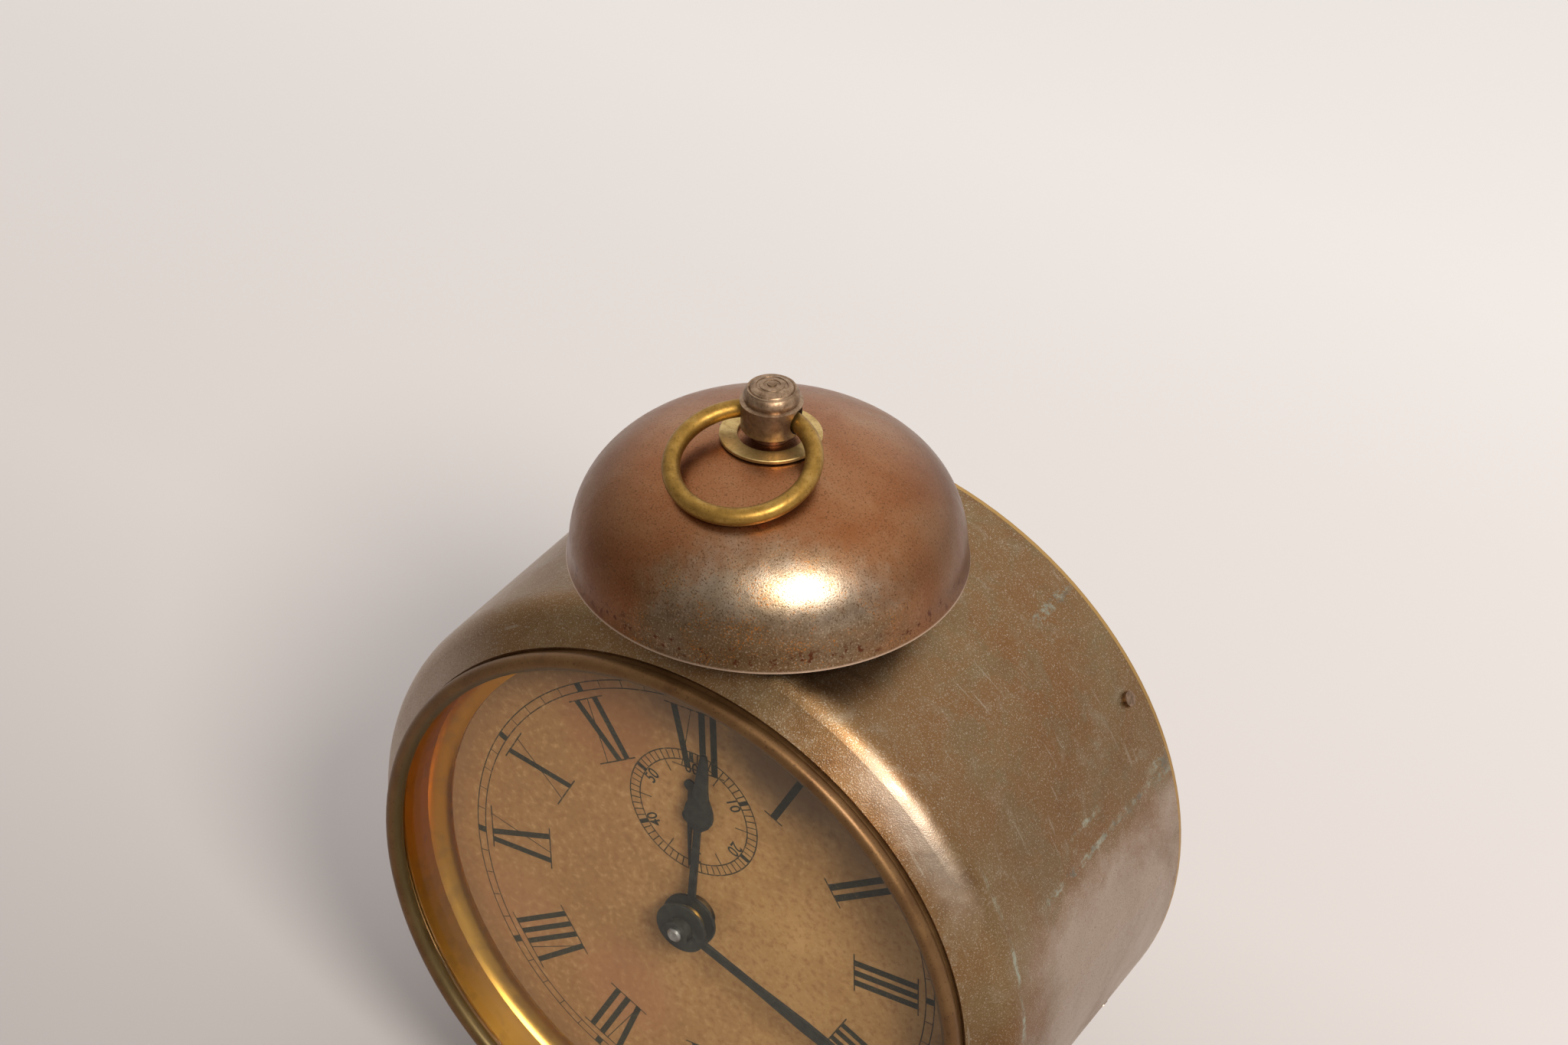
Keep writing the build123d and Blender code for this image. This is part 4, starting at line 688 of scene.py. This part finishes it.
# Painted shade of the bezel: the dial is darkened towards its edge.
rim = between(tree, ragged(tree, place, radius, 5, 6), 40, 47)
tone = tint(tree, tone, rim, 0.5, (0.13, 0.07, 0.03))
feed(tree, shader, Base_Color=tone)
roughen(tree, shader, mottle, 0.02)
give(dial_material, "dial")

# %% [markdown]
# The ink has faded to a grey green and has flaked in places, where the paper shows through. Real
# flakes would be holes in the strokes. A second tone like the paper's does the same and leaves the
# strokes simple. Hairlines have lost more of their ink than bold strokes, so they get their own.

# %% Finish of the ink
def ink(name, base, flake_size, stops):
    """A flaked printing ink, with flakes of a size in millimetres."""
    material, tree, shader = new_material(name, base, 0.0, 0.7)
    shader.inputs["Specular IOR Level"].default_value = 0.15
    flakes = noise(tree, object_place(tree), flake_size, 4, 0.7)
    feed(tree, shader, Base_Color=ramp(tree, flakes, stops))
    print(name, "has flakes of", flake_size, "mm")
    return material


bold_ink = ink("faded_ink", (0.03, 0.03, 0.022), 0.5, [
    (0.4, (0.02, 0.021, 0.014)),
    (0.62, (0.032, 0.03, 0.018)),
    (0.72, (0.1, 0.062, 0.028)),
])
thin_ink = ink("worn_hairline_ink", (0.09, 0.07, 0.04), 0.9, [
    (0.5, (0.03, 0.025, 0.013)),
    (0.66, (0.12, 0.07, 0.028)),
])

# %% [markdown]
# ### Glass
# The glass is flat and thin. A plain glass shader would throw a dark shadow on the dial, because its
# light is bent and lost, so for shadow rays it is mixed with a clear shader. Its low index keeps the
# reflection of the table weak, as in the photograph.

# %% Finish of the glass
glass_material, tree, shader = new_material("flat_glass", (1, 1, 1), 0.0, 0.02)
shader.inputs["Transmission Weight"].default_value = 1.0
shader.inputs["IOR"].default_value = 1.24
smear = noise(tree, object_place(tree), 14, 3, 0.5)
feed(tree, shader, Roughness=ramp(tree, smear, [(0.4, 0.0), (0.8, 0.012)]))
clear = add_node(tree, "ShaderNodeBsdfTransparent").outputs["BSDF"]
shadow_ray = add_node(tree, "ShaderNodeLightPath").outputs["Is Shadow Ray"]
pane = add_node(tree, "ShaderNodeMixShader", {"Fac": shadow_ray, 1: shader.outputs["BSDF"], 2: clear})
tree.links.new(pane.outputs["Shader"], tree.nodes["Material Output"].inputs["Surface"])
give(glass_material, "glass")

# %% [markdown]
# ## Printing on the dial
# Hour numerals, a minute track and a seconds dial were printed in one colour. They could be a
# picture on the dial, but strokes as real flat faces stay sharp from any distance. A drawing is made
# flat in the XY plane, with 12 o'clock up, and is then stood up and laid just in front of the paper.
# The dial sits a little turned in its case, as the photograph shows.

# %% Drawing helpers
dial_turn = -2.4
film = 0.02 * mm


def on_clock(out, across, clock):
    """A place, from its distance outwards and clockwise of the line at a clock angle in degrees."""
    turn = math.radians(clock)
    return (
        across * math.cos(turn) + out * math.sin(turn),
        out * math.cos(turn) - across * math.sin(turn),
    )


def start_drawing(name):
    """An empty flat drawing, open in edit mode."""
    bpy.ops.object.select_all(action="DESELECT")
    bpy.ops.mesh.primitive_plane_add(size=1)
    drawing = bpy.context.object
    drawing.name = name
    bpy.ops.object.mode_set(mode="EDIT")
    bpy.ops.mesh.delete(type="VERT")
    return drawing


def stroke(start, end, width):
    """A straight printed stroke between two places in millimetres."""
    middle = ((start[0] + end[0]) / 2 * mm, (start[1] + end[1]) / 2 * mm, 0)
    length = math.dist(start, end)
    lean = math.atan2(end[1] - start[1], end[0] - start[0]) - math.pi / 2
    bpy.ops.mesh.primitive_plane_add(size=1)
    bpy.ops.transform.resize(value=(width * mm, length * mm, 1), center_override=(0, 0, 0))
    # With no window, the rotate operator turns the other way.
    bpy.ops.transform.rotate(value=-lean, orient_axis="Z", center_override=(0, 0, 0))
    bpy.ops.transform.translate(value=middle)


def circle_line(radius, width):
    """A printed circle: a ring of edges, extruded and drawn in by the line's width."""
    bpy.ops.mesh.primitive_circle_add(vertices=144, radius=(radius + width / 2) * mm)
    bpy.ops.mesh.extrude_edges_indiv()
    shrink = (radius - width / 2) / (radius + width / 2)
    bpy.ops.transform.resize(value=(shrink, shrink, 1), center_override=(0, 0, 0))


def finish_drawing(drawing, material, place, facing=1):
    """Close the drawing, turn its faces outwards, stand it up and set it in its place."""
    bpy.ops.mesh.select_all(action="SELECT")
    bpy.ops.mesh.normals_make_consistent(inside=False)
    bpy.ops.object.mode_set(mode="OBJECT")
    drawing.rotation_euler = (math.pi / 2, 0, 0 if facing > 0 else math.pi)
    drawing.location = place
    bpy.ops.object.transform_apply(location=True, rotation=True, scale=True)
    drawing.data.materials.append(material)
    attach(drawing, "case")
    print(drawing.name, "faces:", len(drawing.data.polygons))


# %% [markdown]
# ### Hour numerals
# The numerals stand radially with their tops outwards. The engraver drew them by hand, and their
# strokes are closer where a numeral has many, so a font would not fit. Each numeral below lists its
# upright bars, its thick slanting strokes and its hairline strokes, as places in millimetres along
# the track from its own hour line, and then the width of its thick strokes. A slanting stroke is
# given by its top and its foot.

# %% Hour numerals
numeral_inner, numeral_outer = 27.7, 38.8
dial_shift = 0.4 * mm
numerals = {
    1: ([0], [], [], 1.2),
    2: ([-0.98, 0.98], [], [], 1.15),
    3: ([-1.92, 0, 1.92], [], [], 1.15),
    4: ([-2.85, -0.95, 0.95, 2.85], [], [], 1.1),
    5: ([], [(-1.75, 0)], [(1.75, 0)], 1.15),
    6: ([1.75], [(-2.3, -0.9)], [(0.3, -0.9)], 1.1),
    7: ([0.4, 2.45], [(-3.2, -1.8)], [(-0.8, -1.8)], 1.0),
    8: ([-0.7, 1.25, 3.2], [(-4.3, -3.0)], [(-1.9, -3.0)], 0.95),
    9: ([-1.2], [(0.28, 3.6)], [(3.8, 0.4)], 1.05),
    10: ([], [(-1.5, 1.8)], [(1.8, -1.75)], 1.05),
    11: ([2.0], [(-1.8, 0.37)], [(0.5, -2.2)], 1.1),
    12: ([1.65, 3.65], [(-3.2, -1.1)], [(-0.2, -2.2)], 1.15),
}
dial_place = Vector((dial_shift, dial_front - film, axis_height))


def numeral_stroke(top, foot, clock, width):
    """A stroke of a numeral from its foot to its top."""
    stroke(on_clock(numeral_inner, foot, clock), on_clock(numeral_outer, top, clock), width)


thick = start_drawing("hour_numerals")
for hour, (bars, slants, _, width) in numerals.items():
    for top, foot in [(bar, bar) for bar in bars] + slants:
        numeral_stroke(top, foot, 30 * hour + dial_turn, width)
finish_drawing(thick, bold_ink, dial_place)

# %% [markdown]
# Hairlines close each numeral at its foot and its top, a little past its outer strokes, and make the
# thin halves of V and X. They could be part of the thick strokes' drawing, but their ink has worn
# more, so they are a drawing of their own.

# %% Hairlines of the numerals
thin_stroke, closing_line, overhang = 0.18, 0.24, 1.15
hairlines = start_drawing("numeral_hairlines")
for hour, (bars, slants, thin, width) in numerals.items():
    clock = 30 * hour + dial_turn
    for top, foot in thin:
        numeral_stroke(top, foot, clock, thin_stroke)
    feet = bars + [foot for _, foot in slants + thin]
    tops = bars + [top for top, _ in slants + thin]
    reach = width / 2 + overhang
    for out, ends in ((numeral_inner, feet), (numeral_outer, tops)):
        start, end = on_clock(out, min(ends) - reach, clock), on_clock(out, max(ends) + reach, clock)
        stroke(start, end, closing_line)
finish_drawing(hairlines, thin_ink, dial_place)

# %% [markdown]
# ### Minute track
# The track is two circles with a tick for each minute, and a small dark square at each five. The
# squares could be thick ticks, but they carry the bolder ink. So they are their own drawing, which
# lies half a film in front of the lines that it crosses.

# %% Minute track
track_inner, track_outer = 40.15, 41.6
track_line, tick_width, square_width = 0.2, 0.16, 1.2
track = start_drawing("minute_track")
for radius in (track_inner, track_outer):
    circle_line(radius, track_line)
for minute in range(60):
    clock = 6 * minute + dial_turn
    stroke(on_clock(track_inner, 0, clock), on_clock(track_outer, 0, clock), tick_width)
finish_drawing(track, thin_ink, dial_place)
in_front = Vector((0, film / 2, 0))
squares = start_drawing("five_minute_marks")
for hour in range(12):
    clock = 30 * hour + dial_turn
    square_foot = on_clock(track_inner + 0.05, 0, clock)
    stroke(square_foot, on_clock(track_outer, 0, clock), square_width)
finish_drawing(squares, bold_ink, dial_place - in_front)

# %% [markdown]
# ### Seconds dial
# The seconds dial has its own track. Each ten has a bold mark and a number, and each odd five a fine
# line that points inwards. It could stand round the seconds hand's arbor, but the photograph shows
# that it was printed a little beside it, so its middle is a measured place.

# %% Seconds dial
seconds_middle = (-0.85, 19.37)
seconds_inner, seconds_outer, pointer_end = 9.6, 11.36, 7.5
seconds_line, second_width, ten_width = 0.22, 0.2, 0.75
seconds_place = Vector((
    seconds_middle[0] * mm,
    dial_front - film,
    axis_height + seconds_middle[1] * mm,
))
seconds_lines = start_drawing("seconds_track")
for radius in (seconds_inner, seconds_outer):
    circle_line(radius, seconds_line)
for second in range(60):
    clock = 6 * second + dial_turn
    stroke(on_clock(seconds_inner, 0, clock), on_clock(seconds_outer, 0, clock), second_width)
    if second % 10 == 5:
        stroke(on_clock(pointer_end, 0, clock), on_clock(seconds_inner, 0, clock), second_width)
finish_drawing(seconds_lines, thin_ink, seconds_place)
ten_marks = start_drawing("ten_second_marks")
for ten in range(6):
    clock = 60 * ten + dial_turn
    stroke(on_clock(seconds_inner, 0, clock), on_clock(seconds_outer, 0, clock), ten_width)
finish_drawing(ten_marks, bold_ink, seconds_place - in_front)

# %% [markdown]
# The numbers are set in type, so here a font does fit. Each is made from a text object that is turned
# into a mesh before it gets its place, squeezed a little, because such type was narrow, and fattened
# by a small offset of its outline, because ink spreads.

# %% Numbers in type
type_squeeze, ink_spread = 0.86, 0.012
seconds_type, seconds_type_out = 2.9, 8.3


def numbers(name, marks, size, material, place, facing=1):
    """Numbers round a centre, each given by its text, its distance and its angle."""
    made = []
    for text, out, clock in marks:
        bpy.ops.object.select_all(action="DESELECT")
        bpy.ops.object.text_add()
        number = bpy.context.object
        number.data.body = text
        number.data.size = size * mm
        number.data.align_x = "CENTER"
        number.data.align_y = "CENTER"
        number.data.offset = ink_spread * size * mm
        number.data.resolution_u = 4
        bpy.ops.object.convert(target="MESH")
        number.scale = (type_squeeze, 1, 1)
        bpy.ops.object.transform_apply(location=False, rotation=False, scale=True)
        x, y = on_clock(out, 0, clock)
        number.location = (x * mm, y * mm, 0)
        number.rotation_euler = (0, 0, -math.radians(clock))
        bpy.ops.object.transform_apply(location=True, rotation=True, scale=True)
        made.append(number)
    bpy.ops.object.select_all(action="DESELECT")
    for number in made:
        number.select_set(True)
    bpy.context.view_layer.objects.active = made[0]
    bpy.ops.object.join()
    made[0].name = name
    bpy.ops.object.mode_set(mode="EDIT")
    finish_drawing(made[0], material, place, facing)


tens = [(str(10 * ten or 60), seconds_type_out, 60 * ten + dial_turn) for ten in range(6)]
numbers("seconds_numbers", tens, seconds_type, bold_ink, seconds_place)

# %% [markdown]
# ### Alarm dial on the back
# The alarm is set by a small hand on the rear cover, against hours stamped round it and filled with
# black. Stamping could be cut into the brass, but it is hardly deeper than the ink, so the same flat
# drawing is used, turned to face backwards. The cover's flat lies a little inside its rolled edge.

# %% Alarm dial
cover_edge_rise = 2.5 * mm
alarm_circle, hour_tick_end, quarter_tick_end = 10.4, 11.2, 10.8
alarm_line, alarm_tick_width = 0.18, 0.16
alarm_type, alarm_type_out = 2.6, 12.6
cover_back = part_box("back_cover")[1].y
alarm_low, alarm_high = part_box("alarm_knob")
alarm_place = Vector((
    (alarm_low.x + alarm_high.x) / 2,
    cover_back - cover_edge_rise + film,
    (alarm_low.z + alarm_high.z) / 2,
))
hours = [(str(hour), alarm_type_out, 30 * hour) for hour in range(1, 13)]
numbers("alarm_numbers", hours, alarm_type, bold_ink, alarm_place, facing=-1)
ticks = start_drawing("alarm_ticks")
circle_line(alarm_circle, alarm_line)
for quarter in range(48):
    clock = 7.5 * quarter
    tick_end = quarter_tick_end if quarter % 4 else hour_tick_end
    stroke(on_clock(alarm_circle, 0, clock), on_clock(tick_end, 0, clock), alarm_tick_width)
finish_drawing(ticks, bold_ink, alarm_place, facing=-1)

# %% [markdown]

print("scene dressed")
